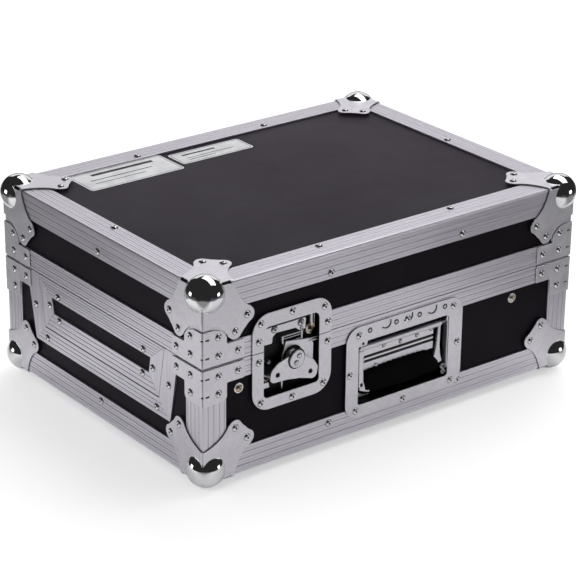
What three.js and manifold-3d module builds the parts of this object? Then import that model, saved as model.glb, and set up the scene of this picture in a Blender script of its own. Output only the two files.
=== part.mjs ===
// Road case for a 12-inch DJ mixer: laminated plywood boards held in aluminium
// edge extrusions, with steel ball corners, corner braces, twist latches, a
// spring handle and a lift-out V-shaped front door. Millimetres, +Z up.
//
// World frame: X is the width, Y the length (the door faces -Y), Z is up and
// zero is where the rubber feet stand. Most parts are drawn in face distances:
// a is the distance inwards from the left or right face, b inwards from the
// front or back face and c up from the bottom (or down from the top) of the box.
import * as THREE from 'three';
import { mergeVertices } from 'three/addons/utils/BufferGeometryUtils.js';
import Module from 'manifold-3d';

const wasm = await Module();
wasm.setup();

// ---------------------------------------------------------------- dimensions
const WIDTH = 376.6;          // over the extrusions
const LENGTH = 508;
const HEIGHT = 218.4;
const PARTING = 130.5;        // height of the line between base and lid
const FOOT_HEIGHT = 10.5;     // feet below the extrusions
const GAP = 0.3;              // clearance between neighbouring pieces

const BOARD = 9;              // plywood thickness
const EDGE_LEG = 29.4;        // visible width of the edge extrusions
const EDGE_WALL = 1.8;        // their wall thickness
const SKIN = EDGE_WALL + GAP; // boards sit this far below the outer surface
const INNER = SKIN + BOARD;   // inside face of the boards
const FACE_PLATE_IN = GAP;    // riveted plates stand off the extrusions by this
const FACE_PLATE_OUT = 1.5;

const RIM_LEG_UP = 22.6;      // parting extrusion, height above the parting line
const RIM_LEG_DOWN = 21.4;    // and below it
const RIM_DEPTH = 13.2;       // how far the parting extrusions reach inwards
const RIM_INNER_LEG = 20;
const TONGUE_IN = 5;          // the lid's tongue lies between these two depths
const TONGUE_OUT = 7;
const TONGUE_DROP = 5;
const GROOVE_IN = 4.5;
const GROOVE_OUT = 9.2;
const GROOVE_DROP = 6.2;

const BALL_RADIUS = 20.8;
const BALL_CENTRE = 12;       // centre of the ball, in from all three faces
const CORNER_CUT = 24;        // cube taken out of the extrusions under a ball
const WING_NEAR = 39.9;       // rivet places on a ball corner's wing
const WING_FAR = 54.9;
const WING_LOBE = 8.8;        // rounded metal around each rivet
const WING_NOTCH = 53.5;      // bottom of the notch between the two lobes
const WING_ROOT = 38;         // where two wings part on the edge of the box

const BRACE_LENGTH = 51.2;
const BRACE_ARM = 29.4;
const BRACE_GAP = 1.4;        // braces stop this far from the parting line
const BRACE_TOP = 171.5;
const BRACE_BOTTOM = 89;

const DOOR_TOP_HALF = 121.3;  // half widths of the V-shaped door
const DOOR_SLOPE = 0.19;      // growth of the half width per unit of height
const DOOR_BOTTOM = 70;
const DOOR_STRIP = 22;        // width of the door's frame strips
const SURROUND_STRIP = 24;    // width of the fixed strips beside the door
const SURROUND_BOTTOM = 49;

const LATCH_CENTRE = 116.8;   // from the front face, along the side
const LATCH_FLANGE = { b0: 61.3, b1: 164.3, c0: 63.6, c1: 172.3, radius: 22 };
const LATCH_MOUTH = { b0: 76, b1: 148, c0: 77, c1: 157 };
const LATCH_DEPTH = 9;
const HUB_HEIGHT = 112.5;     // axis of the twist latch's spindle
const HUB_RADIUS = 6;
const TWIST_TILT = 8.6;       // degrees that the twist wing rests off upright
const TWIST_FRONT = 3.4;      // twist wing's face, out from the extrusions
const TWIST_BACK = 1.8;

const HANDLE_FLANGE = { b0: 184.9, b1: 347.8, c0: 18.5, c1: 124.4, radius: 17 };
const HANDLE_MOUTH = { b0: 201.5, b1: 328.5, c0: 32.3, c1: 105.5 };
const HANDLE_DEPTH = 16;
const HANDLE_AXIS = { a: 6, c: 95.3 };
const DISH_WALL = 1.2;

const HINGE_HALF = 100;       // half length of the rear hinge
const HINGE_OFFSET = 4.4;     // pin axis behind the back face
const KNUCKLE_RADIUS = 4;
const HINGE_PIN_RADIUS = 1.5;
const KNUCKLES = 5;

const FOAM = 12;
const FOAM_TOP = 105;

// ----------------------------------------------------------------- materials
const finish = (color, roughness, metalness) =>
  new THREE.MeshStandardMaterial({ color, roughness, metalness });
const LAMINATE = finish(0x15121a, 0.5, 0);
const ALUMINIUM = finish(0xc8c4ce, 0.35, 0.9);
const ZINC = finish(0xbcb9c2, 0.4, 0.85);
const CHROME = finish(0xd8d8dc, 0.08, 1);
const RUBBER = finish(0x0b0a0d, 0.7, 0);
const FOAM_GREY = finish(0x232228, 0.95, 0);

// ------------------------------------------------------------- solid helpers
function solid(geometry) {
  geometry.deleteAttribute('normal');
  geometry.deleteAttribute('uv');
  const merged = mergeVertices(geometry, 1e-4);
  const vertProperties = new Float32Array(merged.attributes.position.array);
  const triVerts = new Uint32Array(merged.index.array);
  return new wasm.Manifold(new wasm.Mesh({ numProp: 3, vertProperties, triVerts }));
}

function flipped(geometry) {
  const index = geometry.index.array;
  for (let i = 0; i < index.length; i += 3) {
    const first = index[i];
    index[i] = index[i + 1];
    index[i + 1] = first;
  }
  return geometry;
}

function indexed(geometry) {
  geometry.deleteAttribute('normal');
  geometry.deleteAttribute('uv');
  return mergeVertices(geometry, 1e-4);
}

// A geometry moved by a matrix, with its faces turned over where it mirrors.
function moved(geometry, matrix) {
  const copy = indexed(geometry.clone());
  copy.applyMatrix4(matrix);
  return matrix.determinant() < 0 ? flipped(copy) : copy;
}

function geometryOf(body) {
  const result = body.getMesh();
  const geometry = new THREE.BufferGeometry();
  const position = new THREE.BufferAttribute(new Float32Array(result.vertProperties), 3);
  geometry.setAttribute('position', position);
  geometry.setIndex(new THREE.BufferAttribute(new Uint32Array(result.triVerts), 1));
  return geometry;
}

const join = (...bodies) => bodies.reduce((sum, body) => sum.add(body));
const cut = (body, ...tools) => tools.reduce((rest, tool) => rest.subtract(tool), body);

function block(x0, x1, y0, y1, z0, z1) {
  const box = new THREE.BoxGeometry(x1 - x0, y1 - y0, z1 - z0);
  box.translate((x0 + x1) / 2, (y0 + y1) / 2, (z0 + z1) / 2);
  return solid(box);
}

// Axes of a flat sheet drawn in two face distances, thick along the third.
const AXES = {
  a: new THREE.Matrix4().makeBasis(
    new THREE.Vector3(0, 1, 0), new THREE.Vector3(0, 0, 1), new THREE.Vector3(1, 0, 0)),
  b: new THREE.Matrix4().makeBasis(
    new THREE.Vector3(1, 0, 0), new THREE.Vector3(0, 0, 1), new THREE.Vector3(0, 1, 0)),
  c: new THREE.Matrix4(),
};

function sheet(shape, axis, from, to, curveSegments = 6) {
  const depth = to - from;
  const plate = new THREE.ExtrudeGeometry(shape, { depth, bevelEnabled: false, curveSegments });
  plate.translate(0, 0, from);
  return solid(moved(plate, AXES[axis]));
}

function outline(points) {
  return new THREE.Shape(points.map(([x, y]) => new THREE.Vector2(x, y)));
}

function roundedRectangle({ b0, b1, c0, c1, radius }) {
  const shape = new THREE.Shape();
  shape.moveTo(b0 + radius, c0);
  shape.absarc(b1 - radius, c0 + radius, radius, -Math.PI / 2, 0, false);
  shape.absarc(b1 - radius, c1 - radius, radius, 0, Math.PI / 2, false);
  shape.absarc(b0 + radius, c1 - radius, radius, Math.PI / 2, Math.PI, false);
  shape.absarc(b0 + radius, c0 + radius, radius, Math.PI, 1.5 * Math.PI, false);
  return shape;
}

// A round bar between two points on a line parallel to one axis.
function bar(radius, axis, from, to, centre, segments = 16) {
  const rod = new THREE.CylinderGeometry(radius, radius, to - from, segments);
  if (axis === 'x') rod.rotateZ(Math.PI / 2);
  if (axis === 'z') rod.rotateX(Math.PI / 2);
  const middle = (from + to) / 2;
  const place = {
    x: [middle, centre[0], centre[1]],
    y: [centre[0], middle, centre[1]],
    z: [centre[0], centre[1], middle],
  }[axis];
  rod.translate(...place);
  return solid(rod);
}

// Face distances to world: side +1 is right, end +1 is back, fromTop counts down.
function placement(side, end, fromTop = false) {
  return new THREE.Matrix4().set(
    -side, 0, 0, side * WIDTH / 2,
    0, -end, 0, end * LENGTH / 2,
    0, 0, fromTop ? -1 : 1, fromTop ? HEIGHT : 0,
    0, 0, 0, 1);
}

// ---------------------------------------------------------------- scene group
const group = new THREE.Group();
group.position.z = FOOT_HEIGHT;

function addGeometry(name, geometry, material) {
  const mesh = new THREE.Mesh(geometry, material);
  mesh.name = name;
  group.add(mesh);
}

const add = (name, body, material) => addGeometry(name, geometryOf(body), material);

function addPlaced(name, body, material, side, end, fromTop) {
  addGeometry(name, moved(geometryOf(body), placement(side, end, fromTop)), material);
}

// ------------------------------------------------------------- edge extrusions
// A rectangular ring with mitred corners: a four-sided lathe whose corners are
// then pushed out to the case's width and length. The profile is (depth, height).
function ring(profile) {
  const half = LENGTH / 2;
  const points = profile.map(([a, z]) => new THREE.Vector2((half - a) * Math.SQRT2, z));
  if (THREE.ShapeUtils.area(points) < 0) points.reverse();
  points.push(points[0].clone());
  const lathe = new THREE.LatheGeometry(points, 4, Math.PI / 4);
  lathe.rotateX(Math.PI / 2);
  const position = lathe.attributes.position;
  for (let i = 0; i < position.count; i++) {
    const x = position.getX(i);
    position.setX(i, x + Math.sign(x) * (WIDTH - LENGTH) / 2);
  }
  return solid(lathe);
}

// Angle section for the top and bottom edges, with a softened outer corner.
function edgeProfile(sign, base) {
  const wall = EDGE_WALL;
  const z = (c) => base + sign * c;
  return [
    [0, z(EDGE_LEG)], [0, z(3)], [0.9, z(0.9)], [3, z(0)], [EDGE_LEG, z(0)],
    [EDGE_LEG, z(wall)], [wall, z(wall)], [wall, z(EDGE_LEG)],
  ];
}

const lidRimProfile = [
  [0, PARTING + GAP],
  [TONGUE_IN, PARTING + GAP],
  [TONGUE_IN, PARTING - TONGUE_DROP],
  [TONGUE_OUT, PARTING - TONGUE_DROP],
  [TONGUE_OUT, PARTING + GAP],
  [RIM_DEPTH, PARTING + GAP],
  [RIM_DEPTH, PARTING + RIM_INNER_LEG],
  [RIM_DEPTH - EDGE_WALL, PARTING + RIM_INNER_LEG],
  [RIM_DEPTH - EDGE_WALL, PARTING + 3],
  [EDGE_WALL, PARTING + 3],
  [EDGE_WALL, PARTING + RIM_LEG_UP],
  [0, PARTING + RIM_LEG_UP],
];

const baseRimProfile = [
  [0, PARTING - RIM_LEG_DOWN],
  [EDGE_WALL, PARTING - RIM_LEG_DOWN],
  [EDGE_WALL, PARTING - 8],
  [RIM_DEPTH - EDGE_WALL, PARTING - 8],
  [RIM_DEPTH - EDGE_WALL, PARTING - RIM_INNER_LEG],
  [RIM_DEPTH, PARTING - RIM_INNER_LEG],
  [RIM_DEPTH, PARTING - GAP],
  [GROOVE_OUT, PARTING - GAP],
  [GROOVE_OUT, PARTING - GROOVE_DROP],
  [GROOVE_IN, PARTING - GROOVE_DROP],
  [GROOVE_IN, PARTING - GAP],
  [0, PARTING - GAP],
];

const SIDES = [['right', 1], ['left', -1]];
const ENDS = [['front', -1], ['back', 1]];

function withoutCorners(body, fromTop) {
  let rest = body;
  for (const [, side] of SIDES) {
    for (const [, end] of ENDS) {
      const cube = new THREE.BoxGeometry(CORNER_CUT + 10, CORNER_CUT + 10, CORNER_CUT + 10);
      const middle = (CORNER_CUT - 10) / 2;
      cube.translate(middle, middle, middle);
      rest = cut(rest, solid(moved(cube, placement(side, end, fromTop))));
    }
  }
  return rest;
}

// Upright angle between two heights at one corner of the box.
function cornerPost(bottom, top) {
  const wall = EDGE_WALL;
  const leg = BRACE_ARM;
  const angle = outline([
    [3, 0], [leg, 0], [leg, wall], [wall, wall], [wall, leg], [0, leg], [0, 3], [0.9, 0.9],
  ]);
  return sheet(angle, 'c', bottom, top);
}

// Room for a twist latch's dish in the parting extrusions, left and right.
function latchRelief() {
  const clear = DISH_WALL + 2 * GAP;
  const inner = LATCH_DEPTH + DISH_WALL + 1.5 * GAP;
  const pocket = block(-2, inner, LATCH_MOUTH.b0 - clear, LATCH_MOUTH.b1 + clear, 70, 165);
  const shape = geometryOf(pocket);
  return SIDES.map(([, side]) => solid(moved(shape, placement(side, -1))));
}

function addExtrusions() {
  const reliefs = latchRelief();
  let lidTop = withoutCorners(ring(edgeProfile(-1, HEIGHT)), true);
  const lidPost = geometryOf(cornerPost(PARTING + RIM_LEG_UP + GAP, HEIGHT - EDGE_LEG + 1));
  for (const [, side] of SIDES) {
    for (const [, end] of ENDS) lidTop = join(lidTop, solid(moved(lidPost, placement(side, end))));
  }
  add('lid_edge_extrusion', lidTop, ALUMINIUM);
  add('lid_tongue_extrusion', cut(ring(lidRimProfile), ...reliefs), ALUMINIUM);
  add('base_edge_extrusion', withoutCorners(ring(edgeProfile(1, 0)), false), ALUMINIUM);
  const doorHalf = surroundHalf(PARTING) + GAP;
  const doorway = block(-doorHalf, doorHalf, -LENGTH / 2 - 5, -LENGTH / 2 + 30, 80, 140);
  add('base_groove_extrusion', cut(ring(baseRimProfile), doorway, ...reliefs), ALUMINIUM);
  for (const [endName, end] of ENDS) {
    for (const [sideName, side] of SIDES) {
      const post = cornerPost(EDGE_LEG + GAP, PARTING - RIM_LEG_DOWN - GAP);
      addPlaced(`corner_post_${endName}_${sideName}`, post, ALUMINIUM, side, end);
    }
  }
}

// ------------------------------------------------------------------- boards
const doorHalfAt = (z) => DOOR_TOP_HALF - DOOR_SLOPE * (PARTING - z);
const surroundHalf = (z) => doorHalfAt(z) + SURROUND_STRIP;

function trapezoid(bottom, top, extra) {
  return outline([
    [-doorHalfAt(bottom) - extra, bottom], [doorHalfAt(bottom) + extra, bottom],
    [doorHalfAt(top) + extra, top], [-doorHalfAt(top) - extra, top],
  ]);
}

// A front-face sheet: drawn in world X and Z, thick between two depths.
function frontSheet(shape, from, to) {
  const panel = geometryOf(sheet(shape, 'b', from, to));
  return solid(panel.translate(0, -LENGTH / 2, 0));
}

function sideBoard(bottom, top, latchFrom, latchTo) {
  const clear = DISH_WALL + 2 * GAP;
  const board = block(SKIN, INNER, SKIN, LENGTH - SKIN, bottom, top);
  const latch = block(-2, 30, LATCH_MOUTH.b0 - clear, LATCH_MOUTH.b1 + clear, latchFrom, latchTo);
  return cut(board, latch);
}

function addBoards() {
  const halfX = WIDTH / 2 - SKIN;
  const halfY = LENGTH / 2 - SKIN;
  const endX = WIDTH / 2 - INNER - GAP;
  const lidBottom = PARTING + 3 + GAP;
  const lidTop = HEIGHT - INNER - GAP;
  const baseBottom = INNER + GAP;
  const baseTop = PARTING - 8 - GAP;
  const clear = DISH_WALL + 2 * GAP;

  add('lid_top_board', block(-halfX, halfX, -halfY, halfY, HEIGHT - INNER, HEIGHT - SKIN), LAMINATE);
  add('base_floor_board', block(-halfX, halfX, -halfY, halfY, SKIN, INNER), LAMINATE);
  const frontY = -halfY;
  const backY = halfY - BOARD;
  add('lid_front_board', block(-endX, endX, frontY, frontY + BOARD, lidBottom, lidTop), LAMINATE);
  add('lid_back_board', block(-endX, endX, backY, backY + BOARD, lidBottom, lidTop), LAMINATE);
  add('base_back_board', block(-endX, endX, backY, backY + BOARD, baseBottom, baseTop), LAMINATE);
  const notch = frontSheet(trapezoid(DOOR_BOTTOM - 7, PARTING + 10, 7), -5, 30);
  const front = block(-endX, endX, frontY, frontY + BOARD, baseBottom, baseTop);
  add('base_front_board', cut(front, notch), LAMINATE);

  for (const [name, side] of SIDES) {
    const lidSide = sideBoard(lidBottom, lidTop, PARTING, LATCH_MOUTH.c1 + clear);
    addPlaced(`lid_${name}_board`, lidSide, LAMINATE, side, -1);
    let baseSide = sideBoard(baseBottom, baseTop, LATCH_MOUTH.c0 - clear, PARTING);
    if (side > 0) {
      const { b0, b1, c0, c1 } = HANDLE_MOUTH;
      baseSide = cut(baseSide, block(-2, 30, b0 - clear, b1 + clear, c0 - clear, c1 + clear));
    }
    addPlaced(`base_${name}_board`, baseSide, LAMINATE, side, -1);
  }
}

// -------------------------------------------------------------- ball corners
function wingShape() {
  const start = -FACE_PLATE_OUT;
  const half = new THREE.Shape();
  half.moveTo(start, start);
  half.lineTo(WING_ROOT, start);
  half.lineTo(WING_ROOT, 0);
  half.quadraticCurveTo(45, 25, 60, 29.5);
  half.absarc(WING_FAR, WING_NEAR, WING_LOBE, -1, 0.75, false);
  half.lineTo(WING_NOTCH, WING_NOTCH);
  half.absarc(WING_NEAR, WING_FAR, WING_LOBE, 0.82, 2.57, false);
  half.lineTo(29.5, 60);
  half.quadraticCurveTo(25, 45, 0, WING_ROOT);
  half.lineTo(start, WING_ROOT);
  return half;
}

function ballCorner() {
  const wing = wingShape();
  const tip = block(-10, 5, -10, 5, -10, 5);
  const wings = ['a', 'b', 'c'].map((axis) => sheet(wing, axis, -FACE_PLATE_OUT, -FACE_PLATE_IN, 3));
  const plates = cut(join(...wings), tip);
  const sphere = new THREE.SphereGeometry(BALL_RADIUS, 16, 8);
  sphere.translate(BALL_CENTRE, BALL_CENTRE, BALL_CENTRE);
  const ball = solid(sphere);
  const outside = cut(ball, block(-GAP, 40, -GAP, 40, -GAP, 40));
  const reach = CORNER_CUT - GAP;
  const lining = ball.intersect(block(-10, reach, -10, reach, -10, reach));
  return join(plates, outside, cut(lining, block(1.2, 40, 1.2, 40, 1.2, 40)));
}

function addBallCorners() {
  const corner = ballCorner();
  for (const [levelName, fromTop] of [['lid', true], ['base', false]]) {
    for (const [endName, end] of ENDS) {
      for (const [sideName, side] of SIDES) {
        const name = `${levelName}_ball_corner_${endName}_${sideName}`;
        addPlaced(name, corner, ZINC, side, end, fromTop);
      }
    }
  }
}

// -------------------------------------------------------------- corner braces
function bracePoints(lid) {
  const out = -FACE_PLATE_OUT;
  const arm = BRACE_ARM;
  if (lid) {
    const rim = PARTING + RIM_LEG_UP - 0.3;
    return [
      [out, PARTING + BRACE_GAP], [BRACE_LENGTH, PARTING + BRACE_GAP], [BRACE_LENGTH, rim],
      [arm, rim], [27, 160], [22, 166], [16, 170], [0, BRACE_TOP], [out, BRACE_TOP],
    ];
  }
  const rim = PARTING - RIM_LEG_DOWN;
  return [
    [out, BRACE_BOTTOM], [16, BRACE_BOTTOM], [24, 92], [arm, 99], [arm, rim],
    [BRACE_LENGTH, rim], [BRACE_LENGTH, PARTING - BRACE_GAP], [out, PARTING - BRACE_GAP],
  ];
}

function addBraces() {
  for (const [levelName, lid] of [['lid', true], ['base', false]]) {
    const plate = outline(bracePoints(lid));
    const folded = join(
      sheet(plate, 'a', -FACE_PLATE_OUT, -FACE_PLATE_IN),
      sheet(plate, 'b', -FACE_PLATE_OUT, -FACE_PLATE_IN));
    for (const [endName, end] of ENDS) {
      for (const [sideName, side] of SIDES) {
        addPlaced(`${levelName}_brace_${endName}_${sideName}`, folded, ZINC, side, end);
      }
    }
  }
}

// ------------------------------------------------------------------- V door
// The door's edges carry a tongue that sits in a groove of the fixed surround,
// so it can only leave upwards, once the lid is out of the way.
function addDoor() {
  const top = PARTING - GAP;
  const full = RIM_DEPTH;
  const outer = frontSheet(trapezoid(SURROUND_BOTTOM, top, SURROUND_STRIP), 0, EDGE_WALL);
  const inner = frontSheet(trapezoid(SURROUND_BOTTOM + 4, top, 18), INNER + GAP, full);
  const web = frontSheet(trapezoid(DOOR_BOTTOM - 6.5, top, 6.5), 0, full);
  const opening = frontSheet(trapezoid(DOOR_BOTTOM - GAP, top + 9, GAP), -5, 30);
  const groove = frontSheet(trapezoid(DOOR_BOTTOM - 4.8, top + 9, 4.8), 4.7, 8.3);
  const front = -LENGTH / 2;
  const lidGroove = block(
    -150, 150, front + GROOVE_IN, front + GROOVE_OUT, PARTING - GROOVE_DROP, PARTING + 5);
  const surround = cut(join(outer, inner, web), opening, groove, lidGroove);
  add('door_surround', surround, ALUMINIUM);

  const doorEdge = 0.3;
  const face = frontSheet(trapezoid(DOOR_BOTTOM + doorEdge, top, -doorEdge), 0, EDGE_WALL);
  const frameBody = frontSheet(trapezoid(DOOR_BOTTOM + doorEdge, top, -doorEdge), EDGE_WALL, full);
  const windowHole = frontSheet(trapezoid(DOOR_BOTTOM + DOOR_STRIP, top - 20.5, -DOOR_STRIP), -5, 30);
  const core = frontSheet(trapezoid(DOOR_BOTTOM + 3, top - 8, -3), SKIN - GAP, INNER + GAP);
  const back = frontSheet(trapezoid(DOOR_BOTTOM + 15, top - 18, -15), INNER, 30);
  const tongue = frontSheet(trapezoid(DOOR_BOTTOM - 4.2, top - 9, 4.2), 5.2, 7.8);
  const frame = cut(join(face, frameBody, tongue), windowHole, core, back, lidGroove);
  add('v_door_frame', frame, ALUMINIUM);
  const panel = frontSheet(trapezoid(DOOR_BOTTOM + 3 + GAP, top - 8 - GAP, -3 - GAP), SKIN, INNER);
  add('v_door_panel', panel, LAMINATE);
}

// ------------------------------------------------------------- twist latches
function pocket({ b0, b1, c0, c1 }, depth) {
  const w = DISH_WALL;
  return block(-FACE_PLATE_OUT, depth + w, b0 - w, b1 + w, c0 - w, c1 + w);
}

function latchDish() {
  const flange = sheet(roundedRectangle(LATCH_FLANGE), 'a', -FACE_PLATE_OUT, -FACE_PLATE_IN, 4);
  const { b0, b1, c0, c1 } = LATCH_MOUTH;
  const hollow = block(-5, LATCH_DEPTH, b0, b1, c0, c1);
  return cut(join(flange, pocket(LATCH_MOUTH, LATCH_DEPTH)), hollow);
}

function addLatch(name, side) {
  const dish = latchDish();
  const centre = LATCH_CENTRE;
  const upper = cut(dish, block(-10, 20, 0, 200, 0, PARTING + GAP));
  const keeper = block(1.6, LATCH_DEPTH + 0.5, centre - 30, centre + 15, 144, 157.5);
  addPlaced(`lid_latch_keeper_${name}`, join(upper, keeper), ZINC, side, -1);

  const lower = cut(dish, block(-10, 20, 0, 200, PARTING - GAP, 300));
  const plate = cut(
    block(2.6, 4.2, centre - 21, centre + 29, 83, PARTING - GAP),
    bar(12.5, 'x', -5, 20, [centre, HUB_HEIGHT]));
  const legs = [-20, 26].map((at) => block(3.5, LATCH_DEPTH + 0.5, centre + at, centre + at + 2, 83, 100));
  addPlaced(`base_latch_dish_${name}`, join(lower, plate, ...legs), ZINC, side, -1);

  const hook = cut(
    join(
      block(4.6, 6.2, centre - 17, centre + 17, 97, 137),
      block(2.4, 6.2, centre - 15, centre + 13, 134.5, 137)),
    bar(12, 'x', -5, 20, [centre, HUB_HEIGHT]));
  addPlaced(`latch_hook_${name}`, hook, ZINC, side, -1);

  const spindle = join(
    bar(HUB_RADIUS, 'x', -1.3, LATCH_DEPTH - GAP, [centre, HUB_HEIGHT]),
    bar(8.5, 'x', 6.5, LATCH_DEPTH - GAP, [centre, HUB_HEIGHT]));
  addPlaced(`latch_spindle_${name}`, spindle, ZINC, side, -1);

  const wing = geometryOf(sheet(twistWing(), 'a', -TWIST_FRONT, -TWIST_BACK, 4));
  wing.rotateX(-THREE.MathUtils.degToRad(TWIST_TILT));
  wing.translate(0, centre, HUB_HEIGHT);
  addPlaced(`latch_wing_${name}`, solid(wing), ZINC, side, -1);
}

// Butterfly outline about the spindle's axis, hanging down with two round ears.
function twistWing() {
  const wing = new THREE.Shape();
  wing.moveTo(-9, 7);
  wing.lineTo(-11, -2);
  wing.lineTo(-29, -10);
  wing.quadraticCurveTo(-33.5, -15.5, -27, -22.5);
  wing.quadraticCurveTo(-23, -26, -17, -24.5);
  wing.quadraticCurveTo(0, -19.5, 17, -24.5);
  wing.quadraticCurveTo(23, -26, 27, -22.5);
  wing.quadraticCurveTo(33.5, -15.5, 29, -10);
  wing.lineTo(11, -2);
  wing.lineTo(9, 7);
  return wing;
}

// -------------------------------------------------------------------- handle
function addHandle() {
  const flange = sheet(roundedRectangle(HANDLE_FLANGE), 'a', -FACE_PLATE_OUT, -FACE_PLATE_IN, 4);
  const { b0, b1, c0, c1 } = HANDLE_MOUTH;
  const hollow = block(-5, HANDLE_DEPTH, b0, b1, c0, c1);
  const dish = cut(join(flange, pocket(HANDLE_MOUTH, HANDLE_DEPTH)), hollow);
  const pinHole = [HANDLE_AXIS.a, HANDLE_AXIS.c];
  const pin = bar(HINGE_PIN_RADIUS, 'y', b0 - 0.5, b1 + 0.5, pinHole, 10);
  addPlaced('handle_dish', join(dish, pin), ZINC, 1, -1);

  const bailFrom = b0 + 3.5;
  const bailTo = b1 - 3.5;
  const bore = bar(1.9, 'y', b0 - 5, b1 + 5, pinHole, 12);
  const roll = bar(4, 'y', bailFrom, bailTo - 8, pinHole, 14);
  const web = block(6.5, 8.3, bailFrom, bailTo, 67, HANDLE_AXIS.c);
  const arms = [[bailFrom, bailFrom + 4], [bailTo - 4, bailTo]]
    .map(([from, to]) => block(4, 12, from, to, 40, 92));
  const springRoom = block(0, 11, bailTo - 8, bailTo + 1, HANDLE_AXIS.c - 4.5, 110);
  const bail = cut(join(roll, web, ...arms), bore, springRoom);
  addPlaced('handle_bail', bail, ZINC, 1, -1);

  const gripShape = new THREE.Shape();
  const gripFrom = bailFrom + 4 + GAP;
  const gripTo = bailTo - 4 - GAP;
  gripShape.moveTo(gripFrom, 39);
  gripShape.lineTo(gripTo, 39);
  gripShape.lineTo(gripTo, 60);
  gripShape.quadraticCurveTo((gripFrom + gripTo) / 2, 72, gripFrom, 60);
  const grip = cut(
    sheet(gripShape, 'a', 1.5, 14.5, 8),
    block(6.2, 8.6, 0, 400, 66.7, 90));
  addPlaced('handle_grip', grip, RUBBER, 1, -1);

  addHandleSpring(bailTo - 7, bailTo - 1.5);
}

// Torsion spring wound round the handle's pin.
class Coil extends THREE.Curve {
  constructor(radius, turns, from, to) {
    super();
    Object.assign(this, { radius, turns, from, to });
  }

  getPoint(t, target = new THREE.Vector3()) {
    const angle = t * this.turns * 2 * Math.PI;
    const along = this.from + (this.to - this.from) * t;
    return target.set(
      HANDLE_AXIS.a + this.radius * Math.cos(angle), along,
      HANDLE_AXIS.c + this.radius * Math.sin(angle));
  }
}

function addHandleSpring(from, to) {
  const wire = new THREE.Shape();
  wire.absarc(0, 0, 0.5, 0, 2 * Math.PI, false);
  const coil = new THREE.ExtrudeGeometry(wire, {
    steps: 22, curveSegments: 3, bevelEnabled: false,
    extrudePath: new Coil(2.7, 2, from, to),
  });
  addPlaced('handle_spring', solid(coil), ZINC, 1, -1);
}

// --------------------------------------------------------------------- hinge
function hingeLeaf(up, owned) {
  const backY = LENGTH / 2;
  const z0 = KNUCKLE_RADIUS + 0.4;
  const z1 = 22;
  const from = up ? PARTING + z0 : PARTING - z1;
  const to = up ? PARTING + z1 : PARTING - z0;
  const inY = backY + FACE_PLATE_IN;
  const outY = backY + FACE_PLATE_OUT;
  let leaf = block(-HINGE_HALF, HINGE_HALF, inY, outY, from, to);
  const pitch = 2 * HINGE_HALF / KNUCKLES;
  const axis = [backY + HINGE_OFFSET, PARTING];
  for (const k of owned) {
    const x0 = -HINGE_HALF + k * pitch + GAP;
    const x1 = x0 + pitch - 2 * GAP;
    const low = up ? PARTING : PARTING - z0 - 1;
    const tab = block(x0, x1, inY, outY, low, low + z0 + 1);
    leaf = join(leaf, tab, bar(KNUCKLE_RADIUS, 'x', x0, x1, axis, 16));
  }
  return cut(leaf, bar(HINGE_PIN_RADIUS + 0.4, 'x', -200, 200, axis, 12));
}

function addHinge() {
  add('base_hinge_leaf', hingeLeaf(false, [0, 2, 4]), ZINC);
  add('lid_hinge_leaf', hingeLeaf(true, [1, 3]), ZINC);
  const axis = [LENGTH / 2 + HINGE_OFFSET, PARTING];
  add('hinge_pin', bar(HINGE_PIN_RADIUS, 'x', -HINGE_HALF - 1, HINGE_HALF + 1, axis, 10), CHROME);
}

// ------------------------------------------------------------- foam and feet
function addFoam() {
  const out = INNER + GAP;
  const x1 = WIDTH / 2 - out;
  const y1 = LENGTH / 2 - out;
  const tray = block(-x1, x1, -y1, y1, out, FOAM_TOP);
  const bay = block(-x1 + FOAM, x1 - FOAM, -y1 + FOAM, y1 - FOAM, out + FOAM, FOAM_TOP + 5);
  const doorway = block(-150, 150, -LENGTH / 2, -y1 + FOAM + 1, 44, FOAM_TOP + 5);
  const { b0, b1, c0, c1 } = HANDLE_MOUTH;
  const frontY = -LENGTH / 2;
  const depth = HANDLE_DEPTH + DISH_WALL + GAP;
  const handleRoom = block(WIDTH / 2 - depth, WIDTH / 2, frontY + b0 - 2, frontY + b1 + 2, c0 - 2, c1 + 2);
  add('base_foam_tray', cut(tray, bay, doorway, handleRoom), FOAM_GREY);
  add('lid_foam_pad', block(-x1, x1, -y1, y1, HEIGHT - out - FOAM, HEIGHT - out), FOAM_GREY);
}

function addFeet() {
  const profile = [
    [0, -FOOT_HEIGHT], [10.5, -FOOT_HEIGHT], [12, -FOOT_HEIGHT + 1.5],
    [13, SKIN - GAP], [0, SKIN - GAP],
  ];
  const points = profile.map(([x, y]) => new THREE.Vector2(x, y));
  for (const [endName, end] of ENDS) {
    for (const [sideName, side] of SIDES) {
      const foot = new THREE.LatheGeometry(points, 20);
      foot.rotateX(Math.PI / 2);
      foot.translate(side * (WIDTH / 2 - 62), end * (LENGTH / 2 - 82), 0);
      add(`foot_${endName}_${sideName}`, solid(foot), RUBBER);
    }
  }
}

addBoards();
addExtrusions();
addBallCorners();
addBraces();
addDoor();
addLatch('right', 1);
addLatch('left', -1);
addHandle();
addHinge();
addFoam();
addFeet();

export default group;
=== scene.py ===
"""Looks of the DJ mixer road case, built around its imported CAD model.

Sizes are millimetres in the case's own "face distances" and are turned into the frame's
metres by placement(): a is the distance inwards from the left or right face, b inwards
from the front or back face and c up from the bottom (or down from the top). A sheet that
lies on a face is drawn as (u, v) on that face, with w the height above it.
"""
import math

import bmesh
import bpy
from mathutils import Matrix, Vector, noise
from mathutils.geometry import tessellate_polygon


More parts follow.
